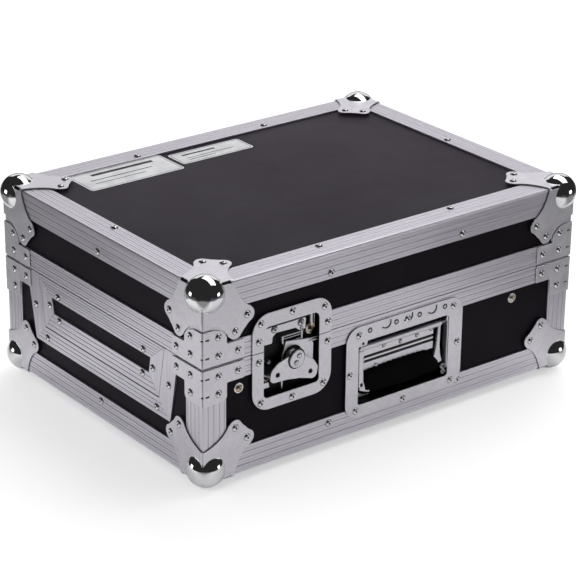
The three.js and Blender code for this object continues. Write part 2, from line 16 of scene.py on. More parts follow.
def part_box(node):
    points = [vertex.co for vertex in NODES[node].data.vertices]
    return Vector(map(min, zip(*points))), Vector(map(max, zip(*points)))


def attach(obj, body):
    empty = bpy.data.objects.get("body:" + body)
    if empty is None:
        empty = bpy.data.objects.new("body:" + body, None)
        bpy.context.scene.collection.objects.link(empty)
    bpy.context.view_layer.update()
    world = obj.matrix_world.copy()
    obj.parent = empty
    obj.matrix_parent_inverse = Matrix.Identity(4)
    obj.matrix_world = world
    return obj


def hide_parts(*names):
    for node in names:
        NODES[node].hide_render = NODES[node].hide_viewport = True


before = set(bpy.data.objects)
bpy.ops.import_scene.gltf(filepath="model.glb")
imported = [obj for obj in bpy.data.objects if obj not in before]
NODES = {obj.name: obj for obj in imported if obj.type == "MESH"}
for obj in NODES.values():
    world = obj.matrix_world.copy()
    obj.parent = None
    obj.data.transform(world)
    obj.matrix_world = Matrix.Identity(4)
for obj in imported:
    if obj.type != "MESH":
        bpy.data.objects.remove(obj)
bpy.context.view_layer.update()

# ---------------------------------------------------------------- dimensions
MM = 0.001


def low_mm(node):
    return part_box(node)[0] / MM


def high_mm(node):
    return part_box(node)[1] / MM


HALF_X = high_mm("base_edge_extrusion").x
HALF_Y = high_mm("base_edge_extrusion").y
BOTTOM = low_mm("base_edge_extrusion").z       # height of the extrusions above the floor
TOP = high_mm("lid_edge_extrusion").z
HEIGHT = TOP - BOTTOM
GAP = 0.3                                      # clearance used throughout the CAD model
PARTING = high_mm("base_groove_extrusion").z + GAP - BOTTOM

WALL = 1.8                                     # extrusion wall
EDGE_LEG = 29.4                                # extrusion legs on the sides
EDGE_ACROSS = 28.3                             # and across the top and bottom
GROOVE_PITCH = 7.0
FIRST_GROOVE = 8.5
COARSE = [FIRST_GROOVE + GROOVE_PITCH * i for i in range(3)]
FINE = [FIRST_GROOVE + GROOVE_PITCH * (i - 0.5) for i in range(4)]
COARSE_WIDTH, COARSE_DEPTH = 0.95, 0.5
FINE_WIDTH, FINE_DEPTH = 0.5, 0.18
RIM_UP = high_mm("lid_tongue_extrusion").z - BOTTOM - PARTING
RIM_DOWN = PARTING + BOTTOM - low_mm("base_groove_extrusion").z
RIM_DEPTH = 13.2
RIM_COARSE, RIM_FINE = (4.1, 10.2, 16.5), (7.1, 13.3, 19.6)
BOARD_FACE = 2.1                               # boards lie this far below the extrusions
PLATE_IN = 0.3                                 # riveted plates stand off by this
PLATE_OUT = 1.5
PRESSING_PROUD = 0.15                          # pressings stand this much further out
FOLD = 1.2                                     # centre of a folded plate's bend
POST_LEG = 29.4
POST_GROOVES = (6.7, 13.6, 20.7, 27.0)

# A rivet's profile as (radius, height): its hollow mouth, painted dark as shade, then the bright head.
RIVET_HEAD = [(0, 1.0), (0.95, 0.9), (1.15, 1.75), (1.5, 2.05), (2.1, 2.0), (2.75, 1.6),
              (3.35, 0.95), (3.75, 0.3), (3.75, -0.1), (0, -0.1)]
RIVET_MOUTH_ROWS = 2
RIVET_STEPS = 20
RIVET_PAINT = [int(row < RIVET_MOUTH_ROWS) for row in range(len(RIVET_HEAD) - 1)
               for _ in range(RIVET_STEPS)]
EDGE_RIVET_ALONG = 163.8                       # edge rivets: from the corner, and in from the faces
EDGE_RIVET_SIDE, EDGE_RIVET_END, EDGE_RIVET_TOP = 22.5, 22.0, 21.5

BALL_RADIUS = 20.8
BALL_CENTRE = 12.0
BALL_FILLET = 2.0
WING_NEAR, WING_FAR = 39.9, 54.9               # rivet places on a ball corner's wing
WING_LOBE = 8.8
WING_NOTCH = 53.0
WING_ROOT = 38.0

BRACE_LENGTH = 51.2
BRACE_ARM = 29.4
BRACE_GAP = 1.4
BRACE_TOP = 171.5
BRACE_BOTTOM = 89.0
BRACE_RIVETS = {"lid": ((18.9, 142.3), (43.3, 142.3), (18.9, 162.5)),
                "base": ((18.9, 119.3), (43.3, 119.3), (18.9, 99.6))}
BEND_HALF = math.pi / 4 * (FOLD + (PLATE_IN + PLATE_OUT) / 2)
CREASE_HALF = 0.3                              # crease's half width, as a share of the bend
CREASE_DEPTH = 0.9

DOOR_TOP_HALF = 121.3
DOOR_SLOPE = 0.19
DOOR_BOTTOM = 70.0
DOOR_STRIP = 22.0
DOOR_SEAM = 0.18                               # half the joint between the door's bars
SURROUND_STRIP = 24.0
SURROUND_FOOT = 21.0
SURROUND_BOTTOM = 49.0

# Flanges and mouths are (first u, last u, first v, last v) on the right face.
LATCH_CENTRE = 116.8
HUB_HEIGHT = 112.5
SPINDLE_BOSS = (116.2, 112.8)
KEEPER_POST = (138.4, 139.9)
LATCH_FLANGE = (61.3, 164.3, 63.6, 172.3)
LATCH_MOUTH = (76.0, 148.0, 77.0, 157.0)
LATCH_DEPTH = 9.0
LATCH_FLANGE_RADIUS = 22
LID_MOUTH_RADIUS, BASE_MOUTH_RADIUS = 7, 5
TWIST_TILT = math.radians(9.5)
TWIST_PAD_TURN = math.radians(-18)
TWIST_BACK, TWIST_FRONT = 1.8, 3.4
TWIST_HOLE = (21.6, -16.2)

HANDLE_FLANGE = (184.9, 347.8, 18.5, 124.4)
HANDLE_MOUTH = (201.5, 328.5, 32.3, 105.5)
HANDLE_DEPTH = 16.0
HANDLE_AXIS = (6.0, 95.3)                      # depth below the face, height
DISH_WALL = 1.2
DISH_LIP = 0.8
BAIL_START, BAIL_STOP = 205.8, 313.0
BAIL_GROOVES = (77.0, 82.3)
GRIP_BOTTOM, GRIP_TOP = 39.2, 68.6
GRIP_FRONT, GRIP_BACK = -1.7, -14.3
SPRING_RADIUS, SPRING_WIRE = 2.75, 0.42

HINGE_HALF = 100.0
HINGE_OFFSET = 4.4
HINGE_LEAF = 22.0                              # leaf's reach from the parting line
HINGE_RIVET = 14.0
KNUCKLE_RADIUS = 4.0
KNUCKLE_BORE = 1.95
KNUCKLES = 5

CRATE_PITCH = 0.027                            # egg-crate foam's waves, in metres,
CRATE_STEPS = 10                               # the mesh steps in each,
CRATE_FLOOR = 0.35                             # and the share of the depth under its hollows
SCREW_PLACES = ((46.5, 97.0), (424.0, 99.0))
# A label is its name, its box and its rules, each (place across, start, stop, width).
LABELS = (
    ("label_large", (295, 347.8, 64, 188.5),
     ((0.22, 0.20, 0.86, 5.5), (0.50, 0.12, 0.78, 1.6), (0.68, 0.12, 0.66, 1.2))),
    ("label_small", (305.5, 340, 194, 293.5),
     ((0.30, 0.14, 0.60, 3.4), (0.58, 0.14, 0.80, 1.2), (0.74, 0.14, 0.52, 1.2))))

SIDES = (("right", 1), ("left", -1))
ENDS = (("front", -1), ("back", 1))
LEVELS = (("lid", True), ("base", False))

# --------------------------------------------- stage, lights and camera, in metres
FLOOR_HALF = 14.0
# The floor's colour in reflections is painted: darker far out and off the corners, brighter in front.
FLOOR_MIRRORED = 0.97                          # floor's brightness in reflections near the case,
FLOOR_FRONT = 1.22                             # its gain in front of the case,
FLOOR_FAR = 0.12                               # and its share far away
FLOOR_LIFT = 0.42                              # floor's own glow to the camera near the case
SKY_SEEN, SKY_DIFFUSE, SKY_GLOSSY = 1.0, 0.45, 0.022
AIM = (0, 0, 0.12)
LAMP_DISTANCE = 2.7
OVERHEAD = ((-0.15, 0.95, 2.1), (2.6, 1.3), 1.7)       # place, size, radiance
# Lamps round the case: name, bearing in degrees, height, size, radiance, seen in reflections.
ROUND_LAMPS = (
    ("behind", 142, 1.35, (3.4, 1.9), 0.80, True),
    ("right", 42, 0.30, (0.8, 0.55), 3.0, True),
    ("left", -120, 0.30, (0.8, 0.55), 3.0, True),
    ("camera_side", -80, 2.3, (2.0, 0.9), 2.1, False))
CAMERA_TURN, CAMERA_TILT, CAMERA_ROLL = math.radians(52.15), math.radians(23.43), math.radians(0.61)
CAMERA_DISTANCE, CAMERA_SHIFT, CAMERA_LIFT = 2.6, -0.0003, 0.0822
CAMERA_LENS, CAMERA_SENSOR, CAMERA_REACH = 141.7, 36, 60


def corners():
    """(name, side, end) of each of the case's upright edges."""
    for end_name, end in ENDS:
        for side_name, side in SIDES:
            yield f"{end_name}_{side_name}", side, end


# ------------------------------------------------------------------ placement
def placement(side, end, from_top=False):
    """Face distances in millimetres to the frame's metres."""
    return Matrix((
        (-side * MM, 0, 0, side * HALF_X * MM),
        (0, -end * MM, 0, end * HALF_Y * MM),
        (0, 0, -MM if from_top else MM, (TOP if from_top else BOTTOM) * MM),
        (0, 0, 0, 1)))


# Sheets drawn as (u, v, w) on each face: (b, c) on the side, (a, c) on the front, (a, b) on top.
ON_SIDE = Matrix(((0, 0, -1, 0), (1, 0, 0, 0), (0, 1, 0, 0), (0, 0, 0, 1)))
ON_FRONT = Matrix(((1, 0, 0, 0), (0, 0, -1, 0), (0, 1, 0, 0), (0, 0, 0, 1)))
ON_TOP = Matrix(((1, 0, 0, 0), (0, 1, 0, 0), (0, 0, -1, 0), (0, 0, 0, 1)))


def on_side(side):
    """The right (1) or left (-1) face."""
    return placement(side, -1) @ ON_SIDE


def on_front_middle():
    """The front face with u measured along world X from the middle."""
    return placement(1, -1) @ ON_FRONT @ Matrix.Translation((HALF_X, 0, 0)) @ Matrix.Scale(-1, 4, (1, 0, 0))


# ------------------------------------------------------------------- outlines
def arc(centre, radius, start, stop, steps):
    """Points on an arc; angles in degrees, running from start to stop."""
    points = []
    for i in range(steps + 1):
        angle = math.radians(start + (stop - start) * i / steps)
        points.append((centre[0] + radius * math.cos(angle), centre[1] + radius * math.sin(angle)))
    return points


def circle(centre, radius, steps):
    return arc(centre, radius, 0, 360, steps)[:-1]


def quadratic(start, control, stop, steps):
    """Points on a curve that leaves start and reaches stop along lines through control."""
    points = []
    for i in range(steps + 1):
        t = i / steps
        p = [(1 - t) ** 2 * s + 2 * t * (1 - t) * c + t * t * e for s, c, e in zip(start, control, stop)]
        points.append(tuple(p))
    return points


def rounded(corners, radii, steps=6):
    """Closed outline through corners, each turned by an arc of its own radius."""
    if not isinstance(radii, (list, tuple)):
        radii = [radii] * len(corners)
    points = []
    for i, corner in enumerate(corners):
        here = Vector(corner)
        before = (Vector(corners[i - 1]) - here)
        after = (Vector(corners[(i + 1) % len(corners)]) - here)
        if radii[i] <= 0:
            points.append(tuple(here))
            continue
        half = before.angle(after) / 2
        reach = min(radii[i] / math.tan(half), before.length * 0.49, after.length * 0.49)
        radius = reach * math.tan(half)
        middle = (before.normalized() + after.normalized()).normalized()
        centre = here + middle * radius / math.sin(half)
        start = here + before.normalized() * reach - centre
        stop = here + after.normalized() * reach - centre
        turn = start.angle_signed(stop)
        for k in range(steps + 1):
            angle = -turn * k / steps
            cos, sin = math.cos(angle), math.sin(angle)
            spoke = (start.x * cos - start.y * sin, start.x * sin + start.y * cos)
            points.append((centre.x + spoke[0], centre.y + spoke[1]))
    return points


def rectangle(u0, u1, v0, v1, radius=0.0, steps=6):
    return rounded([(u0, v0), (u1, v0), (u1, v1), (u0, v1)], radius, steps)


def grown(box, by):
    """A (first u, last u, first v, last v) box, larger by so much on each side."""
    return box[0] - by, box[1] + by, box[2] - by, box[3] + by


def area(points):
    """Signed area: above 0 for an anticlockwise outline."""
    return sum(points[i - 1][0] * p[1] - p[0] * points[i - 1][1] for i, p in enumerate(points)) / 2


def turned(points, anticlockwise):
    return list(points) if (area(points) > 0) == anticlockwise else list(reversed(points))


def offset(points, distance):
    """An anticlockwise outline moved outwards by distance (a clockwise one moves inwards)."""
    moved = []
    count = len(points)
    for i, (x, y) in enumerate(points):
        before = Vector((x, y)) - Vector(points[i - 1])
        after = Vector(points[(i + 1) % count]) - Vector((x, y))
        first = Vector((before.y, -before.x)).normalized()
        second = Vector((after.y, -after.x)).normalized()
        normal = first + second
        normal = normal.normalized() if normal.length > 1e-6 else first
        stretch = 1 / max(0.4, normal.dot(first))
        moved.append((x + normal.x * distance * stretch, y + normal.y * distance * stretch))
    return moved


# --------------------------------------------------------------------- solids
# Each solid is (vertices, faces): closed, with its normals made consistent later.
RIM_ANGLES = (0.52, 1.05)                      # radians, between a rounded rim's two ends


def rim_levels(low, high, edge, back):
    """(height, inset) pairs up the wall of a sheet with rounded front and back rims."""
    levels = []
    if back > 0:
        levels += [(low + back * (1 - math.cos(t)), back * (1 - math.sin(t))) for t in (0, *RIM_ANGLES)]
        levels.append((low + back, 0.0))
    else:
        levels.append((low, 0.0))
    if edge > 0:
        levels.append((high - edge, 0.0))
        levels += [(high - edge + edge * math.sin(t), edge * (1 - math.cos(t))) for t in RIM_ANGLES]
        levels.append((high, edge))
    else:
        levels.append((high, 0.0))
    return levels


def bridge(rows, closed=False):
    """Faces between each row of vertex numbers and the next; a row of one is a pole."""
    faces = []
    pairs = list(zip(rows, rows[1:]))
    if closed:
        pairs.append((rows[-1], rows[0]))
    for lower, upper in pairs:
        count = max(len(lower), len(upper))
        for i in range(count):
            j = (i + 1) % count
            face = [row[k % len(row)] for row, k in ((lower, i), (lower, j), (upper, j), (upper, i))]
            faces.append(tuple(dict.fromkeys(face)))
    return faces


def cap(verts, rows):
    """Faces that close an outline and its holes, each a row of vertex numbers."""
    numbers = [k for row in rows for k in row]
    polygons = [[Vector(verts[k]) for k in row] for row in rows]
    return [tuple(numbers[i] for i in face) for face in tessellate_polygon(polygons)]


def plate(outline, low, high, edge=0.0, holes=(), back=0.0):
    """Flat sheet between two heights, its rims rounded at the front (edge) and back."""
    verts, faces, walls = [], [], []
    for loop in [turned(outline, True)] + [turned(hole, False) for hole in holes]:
        rows = []
        for height, inset in rim_levels(low, high, edge, back):
            rows.append(range(len(verts), len(verts) + len(loop)))
            verts += [(x, y, height) for x, y in offset(loop, -inset)]
        faces += bridge(rows)
        walls.append(rows)
    for end in (0, -1):
        faces += cap(verts, [rows[end] for rows in walls])
    return verts, faces


def sheet(outline, holes=()):
    """A riveted pressing: it stands a little off the faces, so that its rim throws a line."""
    return plate(outline, PLATE_IN + PRESSING_PROUD, PLATE_OUT + PRESSING_PROUD, 0.4, holes, 0.3)


def block(x0, x1, y0, y1, z0, z1):
    return plate([(x0, y0), (x1, y0), (x1, y1), (x0, y1)], z0, z1)


def lathe(profile, steps, closed=False):
    """Solid turned about w from (radius, w) points; an open profile starts and ends on the axis."""
    verts, rows = [], []
    for radius, height in profile:
        ring = circle((0, 0), radius, steps) if radius > 1e-6 else [(0, 0)]
        rows.append(range(len(verts), len(verts) + len(ring)))
        verts += [(x, y, height) for x, y in ring]
    return verts, bridge(rows, closed)


def loft(rings, closed=False):
    """Solid through rings of the same number of 3-D points, capped unless closed."""
    verts = [tuple(p) for ring in rings for p in ring]
    count = len(rings[0])
    rows = [range(k, k + count) for k in range(0, len(verts), count)]
    faces = bridge(rows, closed)
    if not closed:
        faces += cap(verts, rows[:1]) + cap(verts, rows[-1:])
    return verts, faces


def tube(path, radius, steps=10, closed=False):
    """Round wire along a path of 3-D points."""
    points = [Vector(p) for p in path]
    count = len(points)
    rings = []
    side = None
    for i, here in enumerate(points):
        ahead = points[(i + 1) % count] if closed or i < count - 1 else here
        behind = points[i - 1] if closed or i > 0 else here
        along = (ahead - behind).normalized()
        if side is None:
            side = along.orthogonal().normalized()
        side = (side - along * side.dot(along)).normalized()
        other = along.cross(side)
        rings.append([here + (side * x + other * y) for x, y in circle((0, 0), radius, steps)])
    return loft(rings, closed)


def strip(outer, inner, section):
    """Straight bar between an outer and an inner edge, each (start, end); section is (share, w)."""
    rings = []
    for end in (0, 1):
        o, i = Vector(outer[end]), Vector(inner[end])
        rings.append([(*(o.lerp(i, share)), w) for share, w in section])
    return loft(rings)


def rod(radius, start, stop, bevel, steps):
    """Round bar along w with softened rims."""
    return lathe([(0, start), (radius - bevel, start), (radius, start + bevel),
                  (radius, stop - bevel), (radius - bevel, stop), (0, stop)], steps)


def shade_ring(inner, outer, high, steps=20):
    """Flat ring about w, sunk a little into what it lies on; painted dark, it is a painted shadow round a
    head or button.
    """
    low = -0.1
    return lathe([(inner, high), (outer, high), (outer, low), (inner, low)], steps, closed=True)


# ----------------------------------------------------------- building a piece
class Build:
    """A mesh in the making: solids are added on its place, each with its material number."""

    def __init__(self, place=None):
        self.place = place or Matrix.Identity(4)
        self.verts = []
        self.faces = []
        self.paint = []

    def add(self, solid, paint=0, where=None):
        """paint is one material number or one for each face; where is a place on the build's own."""
        verts, faces = solid
        first = len(self.verts)
        place = self.place @ where if where else self.place
        self.verts += [tuple(place @ Vector(v)) for v in verts]
        self.faces += [tuple(first + i for i in face) for face in faces]
        self.paint += [paint] * len(faces) if isinstance(paint, int) else paint
        return self

    def mesh(self, name):
        mesh = bpy.data.meshes.new(name)
        mesh.from_pydata(self.verts, [], self.faces)
        mesh.polygons.foreach_set("material_index", self.paint)
        work = bmesh.new()
        work.from_mesh(mesh)
        bmesh.ops.recalc_face_normals(work, faces=work.faces)
        work.to_mesh(mesh)
        work.free()
        return mesh


def at(u, v, w=0.0, turn=0.0):
    """Place on a face, turned about w."""
    return Matrix.Translation((u, v, w)) @ Matrix.Rotation(turn, 4, "Z")


def solid_of(mesh):
    verts = [tuple(v.co) for v in mesh.vertices]
    return verts, [tuple(p.vertices) for p in mesh.polygons]


def evaluated(mesh, *modifiers):
    """The mesh with modifiers applied; each is (type, {setting: value})."""
    thing = bpy.data.objects.new("work", mesh)
    bpy.context.scene.collection.objects.link(thing)
    for kind, settings in modifiers:
        modifier = thing.modifiers.new(kind, kind)
        for key, value in settings.items():
            setattr(modifier, key, value)
    graph = bpy.context.evaluated_depsgraph_get()
    result = bpy.data.meshes.new_from_object(thing.evaluated_get(graph))
    bpy.data.objects.remove(thing)
    return result


def carved(build, tool):
    """A build with the solids of another cut out of it."""
    cutter = bpy.data.objects.new("tool", tool.mesh("tool"))
    bpy.context.scene.collection.objects.link(cutter)
    settings = {"operation": "DIFFERENCE", "object": cutter, "solver": "EXACT", "use_self": True}
    mesh = evaluated(build.mesh("work"), ("BOOLEAN", settings))
    bpy.data.objects.remove(cutter)
    return Build().add(solid_of(mesh), [p.material_index for p in mesh.polygons])


def piece(name, body, build, materials, node=None, sharp=32):
    """Turns a build into a shown piece that rides on a CAD body, in place of a node if one is named."""
    mesh = build.mesh(name)
    for material in materials:
        mesh.materials.append(material)
    mesh.polygons.foreach_set("use_smooth", [True] * len(mesh.polygons))
    mesh.set_sharp_from_angle(angle=math.radians(sharp))
    thing = bpy.data.objects.new(name, mesh)
    bpy.context.scene.collection.objects.link(thing)
    even = thing.modifiers.new("even_flats", "WEIGHTED_NORMAL")
    even.keep_sharp = True
    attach(thing, body)
    if node:
        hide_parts(node)


# ------------------------------------------------------------------ materials
SHARP_RIM_REACH = 0.0006                            # how far the lighter rims reach, in metres


class Shader:
    """A Principled material with short calls for its texture nodes."""

    def __init__(self, name, color, metallic, roughness, **inputs):
        self.material = bpy.data.materials.new(name)
        self.material.use_nodes = True
        self.material.diffuse_color = (*color, 1)
        self.tree = self.material.node_tree
        self.bsdf = self.tree.nodes["Principled BSDF"]
        self.bsdf.inputs["Base Color"].default_value = (*color, 1)
        self.bsdf.inputs["Metallic"].default_value = metallic
        self.bsdf.inputs["Roughness"].default_value = roughness
        for key, value in inputs.items():
            self.bsdf.inputs[key.replace("_", " ")].default_value = value
        self.coordinates = self.node("ShaderNodeTexCoord").outputs["Object"]

    def node(self, kind, inputs=None, **settings):
        node = self.tree.nodes.new(kind)
        for key, value in settings.items():
            setattr(node, key, value)
        for key, source in (inputs or {}).items():
            self.feed(source, node.inputs[key])
        return node

    def feed(self, source, target):
        """Puts a number, a colour or another node's output into a socket."""
        if isinstance(source, bpy.types.NodeSocket):
            self.tree.links.new(source, target)
        else:
            target.default_value = (*source, 1) if isinstance(source, tuple) else source

    def set(self, key, source):
        self.feed(source, self.bsdf.inputs[key])

    def noise(self, scale, detail=4.0, roughness=0.55, stretch=(1, 1, 1)):
        mapping = self.node("ShaderNodeMapping", {"Vector": self.coordinates, "Scale": Vector(stretch)})
        values = {"Vector": mapping.outputs["Vector"], "Scale": scale, "Detail": detail}
        return self.node("ShaderNodeTexNoise", {**values, "Roughness": roughness}).outputs["Fac"]

    def ranged(self, source, low, high, start=0.3, stop=0.7):
        """A source between start and stop mapped to low..high."""
        values = {"Value": source, "From Min": start, "From Max": stop, "To Min": low, "To Max": high}
        return self.node("ShaderNodeMapRange", values).outputs["Result"]

    def ramp(self, source, low, high, start=0.35, stop=0.65):
        """A source between start and stop mapped to colours from low to high."""
        node = self.node("ShaderNodeValToRGB", {"Fac": source})
        ends = node.color_ramp.elements
        ends[0].position, ends[1].position = start, stop
        ends[0].color, ends[1].color = (*low, 1), (*high, 1)
        return node.outputs["Color"]

    def math(self, operation, first, second=0.0):
        return self.node("ShaderNodeMath", {0: first, 1: second}, operation=operation).outputs[0]

    def mix(self, factor, first, second):
        """First and second colours mixed; factor 1 is all second."""
        node = self.node("ShaderNodeMix", data_type="RGBA")
        sockets = {(s.name, s.type): s for s in node.inputs}
        self.feed(factor, sockets["Factor", "VALUE"])
        self.feed(first, sockets["A", "RGBA"])
        self.feed(second, sockets["B", "RGBA"])
        return next(s for s in node.outputs if s.type == "RGBA")

    def sharp_rim_mask(self):
        """0 on flats, rising at sharp edges: a bevelled normal set against the true one."""
        bevelled = self.node("ShaderNodeBevel", {"Radius": SHARP_RIM_REACH}, samples=4).outputs["Normal"]
        true = self.node("ShaderNodeNewGeometry").outputs["Normal"]
        dot = self.node("ShaderNodeVectorMath", {0: bevelled, 1: true}, operation="DOT_PRODUCT")
        return self.ranged(dot.outputs["Value"], 1.0, 0.0, 0.9, 1.0)

    def bump(self, height, strength, distance):
        values = {"Height": height, "Strength": strength, "Distance": distance}
        self.set("Normal", self.node("ShaderNodeBump", values).outputs["Normal"])

    def cloudy(self, cloud, dark, light, smooth, rough):
        """Colour from dark to light and roughness from smooth to rough, both after one noise."""
        self.set("Base Color", self.ramp(cloud, dark, light))
        self.set("Roughness", self.ranged(cloud, smooth, rough))


def aluminium(axis):
    """Satin anodised extrusion with die lines along one axis."""
    shader = Shader("aluminium_along_" + axis, (0.68, 0.655, 0.73), 0.95, 0.34)
    lines = shader.noise(900, 3, 0.6, [0.012 if name == axis else 1.0 for name in "xyz"])
    cloud = shader.noise(9, 3)
    tint = shader.ramp(lines, (0.66, 0.635, 0.70), (0.88, 0.85, 0.93), 0.3, 0.7)
    shader.set("Base Color", shader.mix(shader.ranged(cloud, 0.0, 0.25), tint, (0.70, 0.675, 0.75)))
    shader.set("Roughness", shader.ranged(lines, 0.30, 0.46))
    shader.bump(lines, 0.18, 0.00008)
    return shader.material


def zinc():
    """Zinc-plated pressed steel: satin, faintly cloudy and specked, lighter along sharp rims."""
    shader = Shader("zinc_plate", (0.90, 0.88, 0.93), 0.97, 0.30)
    cloud = shader.noise(60, 5)
    speck = shader.noise(420, 4, 0.7)
    tint = shader.ramp(cloud, (0.76, 0.74, 0.80), (0.86, 0.84, 0.89))
    spotted = shader.mix(shader.ranged(speck, 0.0, 0.55, 0.52, 0.75), tint, (0.60, 0.585, 0.63))
    shader.set("Base Color", shader.mix(shader.sharp_rim_mask(), spotted, (0.98, 0.98, 0.98)))
    shader.set("Roughness", shader.ranged(cloud, 0.33, 0.46))
    shader.bump(shader.noise(700, 3), 0.16, 0.00007)
    return shader.material


def chrome():
    """Mirror-bright plating with faint smears."""
    shader = Shader("mirror_chrome", (0.86, 0.86, 0.88), 1.0, 0.045)
    shader.set("Roughness", shader.ranged(shader.noise(45, 5), 0.02, 0.09))
    shader.bump(shader.noise(220, 2), 0.03, 0.00005)
    return shader.material


def polished_nickel():
    """Bright rivet heads and screws."""
    shader = Shader("polished_nickel", (0.86, 0.85, 0.88), 1.0, 0.16)
    shader.cloudy(shader.noise(300, 3), (0.90, 0.89, 0.92), (0.98, 0.97, 0.99), 0.20, 0.32)
    return shader.material


def shade_and_print_black():
    """Near-black painted shade for the insides of the dishes, slots, grooves and rivet mouths and the rings
    round heads; also the labels' print.
    """
    shader = Shader("shade_and_print_black", (0.018, 0.017, 0.019), 0.6, 0.38)
    shader.cloudy(shader.noise(80, 4), (0.003, 0.003, 0.0032), (0.014, 0.013, 0.015), 0.34, 0.55)
    return shader.material


def laminate():
    """Black laminate on plywood: fine pebble, soft sheen, faint rub marks."""
    shader = Shader("black_laminate", (0.006, 0.005, 0.007), 0.0, 0.42, IOR=1.17,
                    Sheen_Weight=0.24, Sheen_Roughness=0.35, Sheen_Tint=(0.84, 0.56, 1.0, 1))
    pebble = shader.noise(1300, 2)
    rub = shader.noise(5, 6, 0.7)
    tint = shader.ramp(shader.noise(14, 5), (0.0026, 0.0017, 0.0028), (0.0052, 0.0038, 0.0056))
    shader.set("Base Color", shader.mix(shader.ranged(pebble, 0.0, 0.35), tint, (0.008, 0.006, 0.009)))
    shader.set("Roughness", shader.ranged(rub, 0.36, 0.50))
    shader.bump(pebble, 0.22, 0.00012)
    return shader.material


def rubber(name, grain):
    """Black moulded rubber; a higher grain is finer."""
    shader = Shader(name, (0.002, 0.002, 0.0025), 0.0, 0.8, IOR=1.12)
    shader.cloudy(shader.noise(30, 4), (0.0010, 0.0010, 0.0012), (0.0030, 0.0030, 0.0036), 0.60, 0.80)
    shader.bump(shader.noise(grain, 3), 0.35, 0.0002)
    return shader.material


def foam():
    """Charcoal open-cell foam: small pores painted darker as shade, in a matt, slightly fuzzy surface."""
    shader = Shader("foam", (0.035, 0.035, 0.038), 0.0, 0.95, Sheen_Weight=0.25)
    cells = shader.node("ShaderNodeTexVoronoi", {"Vector": shader.coordinates, "Scale": 620})
    depth = cells.outputs["Distance"]
    # Pores darker than the cell walls: painted shade.
    pore_shade = shader.ramp(depth, (0.010, 0.010, 0.011), (0.052, 0.051, 0.056), 0.1, 0.6)
    cloud = shader.ranged(shader.noise(25, 4), 0.0, 0.4)
    shader.set("Base Color", shader.mix(cloud, pore_shade, (0.03, 0.03, 0.033)))
    shader.bump(depth, 0.6, 0.0006)
    return shader.material


def brass():
    """Yellow-passivated steel of screws and springs."""
    shader = Shader("yellow_passivated_steel", (0.74, 0.64, 0.50), 0.97, 0.22)
    shader.cloudy(shader.noise(120, 4), (0.58, 0.46, 0.31), (0.88, 0.80, 0.70), 0.2, 0.4)
    return shader.material


def label_silver():
    """Brushed silver foil of the label plates."""
    shader = Shader("label_silver", (0.80, 0.80, 0.82), 0.35, 0.42)
    lines = shader.noise(600, 2, 0.5, (1, 0.02, 1))
    shader.set("Base Color", shader.ramp(shader.noise(50, 3), (0.70, 0.70, 0.73), (0.86, 0.86, 0.88)))
    shader.set("Roughness", shader.ranged(lines, 0.34, 0.52))
    return shader.material


METALS = [aluminium(axis) for axis in "xyz"]
ALUMINIUM_X, _, ALUMINIUM_Z = METALS
ZINC = zinc()
CHROME = chrome()
RIVET = polished_nickel()
# Near-black: painted shade in hollows, slots and grooves, and the labels' print.
SHADE_AND_PRINT = shade_and_print_black()
LAMINATE = laminate()
GRIP = rubber("grip_rubber", 500)
FOOT = rubber("foot_rubber", 900)
FOAM = foam()
BRASS = brass()
LABEL = label_silver()


# ------------------------------------------------------------- edge extrusions
def grooves(start, stop, coarse, fine=()):
    """(position, depth) along a face from start to stop, with coarse and fine grooves."""
    marks = [(p, COARSE_WIDTH, COARSE_DEPTH) for p in coarse] + [(p, FINE_WIDTH, FINE_DEPTH) for p in fine]
    points = []
    for place, width, depth in sorted(marks):
        if min(start, stop) + 1 < place < max(start, stop) - 1:
            points += [(place - width / 2, 0), (place - width / 3, depth),
                       (place + width / 3, depth), (place + width / 2, 0)]
    return points[::-1] if start > stop else points


def edge_section(height_of):
    """Angle with a rounded outer corner, drawn from the bottom edge; height_of places it."""
    lip, corner = 0.3, 2.0
    points = [(lip, EDGE_LEG), (0, EDGE_LEG - lip)]
    points += [(depth, c) for c, depth in grooves(EDGE_LEG, 0, COARSE, FINE)]
    points += [(0, corner + 0.9), (0.35, corner + 0.6), (0.05, corner)]
    points += arc((corner, corner), corner, 180, 270, 5)[1:]
    points += grooves(0, EDGE_ACROSS, COARSE, FINE)
    points += [(EDGE_ACROSS - lip, 0), (EDGE_ACROSS, lip), (EDGE_ACROSS, WALL)]
    points += [(WALL, WALL), (WALL, EDGE_LEG)]
    return [(a, height_of(c)) for a, c in points]


def rim_section(sign):
    """Parting extrusion above (+1) or below (-1) the parting line, with its tongue or groove."""
    leg, floor = (RIM_UP, 3) if sign > 0 else (RIM_DOWN, 8)
    lip = 0.35
    points = [(lip, GAP), (0, GAP + lip)]
    points += [(depth, c) for c, depth in grooves(0, leg, RIM_COARSE, RIM_FINE)]
    points += [(0, leg - lip), (lip, leg), (WALL, leg), (WALL, floor), (RIM_DEPTH - WALL, floor)]
    points += [(RIM_DEPTH - WALL, 20), (RIM_DEPTH, 20), (RIM_DEPTH, GAP)]
    if sign > 0:
        points += [(7, GAP), (7, -4.4), (6.6, -5), (5.4, -5), (5, -4.4), (5, GAP)]
    else:
        points += [(9.2, GAP), (9.2, 6.2), (4.5, 6.2), (4.5, GAP)]
    return [(a, BOTTOM + PARTING + sign * c) for a, c in points]


def post_section(marks):
    """Upright corner angle with grooves at the given distances on both legs."""
    lip, corner = 0.3, 1.6
    points = [(POST_LEG, WALL), (POST_LEG, lip), (POST_LEG - lip, 0)]
    points += grooves(POST_LEG, 0, marks)
    points += arc((corner, corner), corner, 270, 180, 5)
    points += [(depth, p) for p, depth in grooves(0, POST_LEG, marks)]
    points += [(0, POST_LEG - lip), (lip, POST_LEG), (WALL, POST_LEG), (WALL, WALL)]
    return points


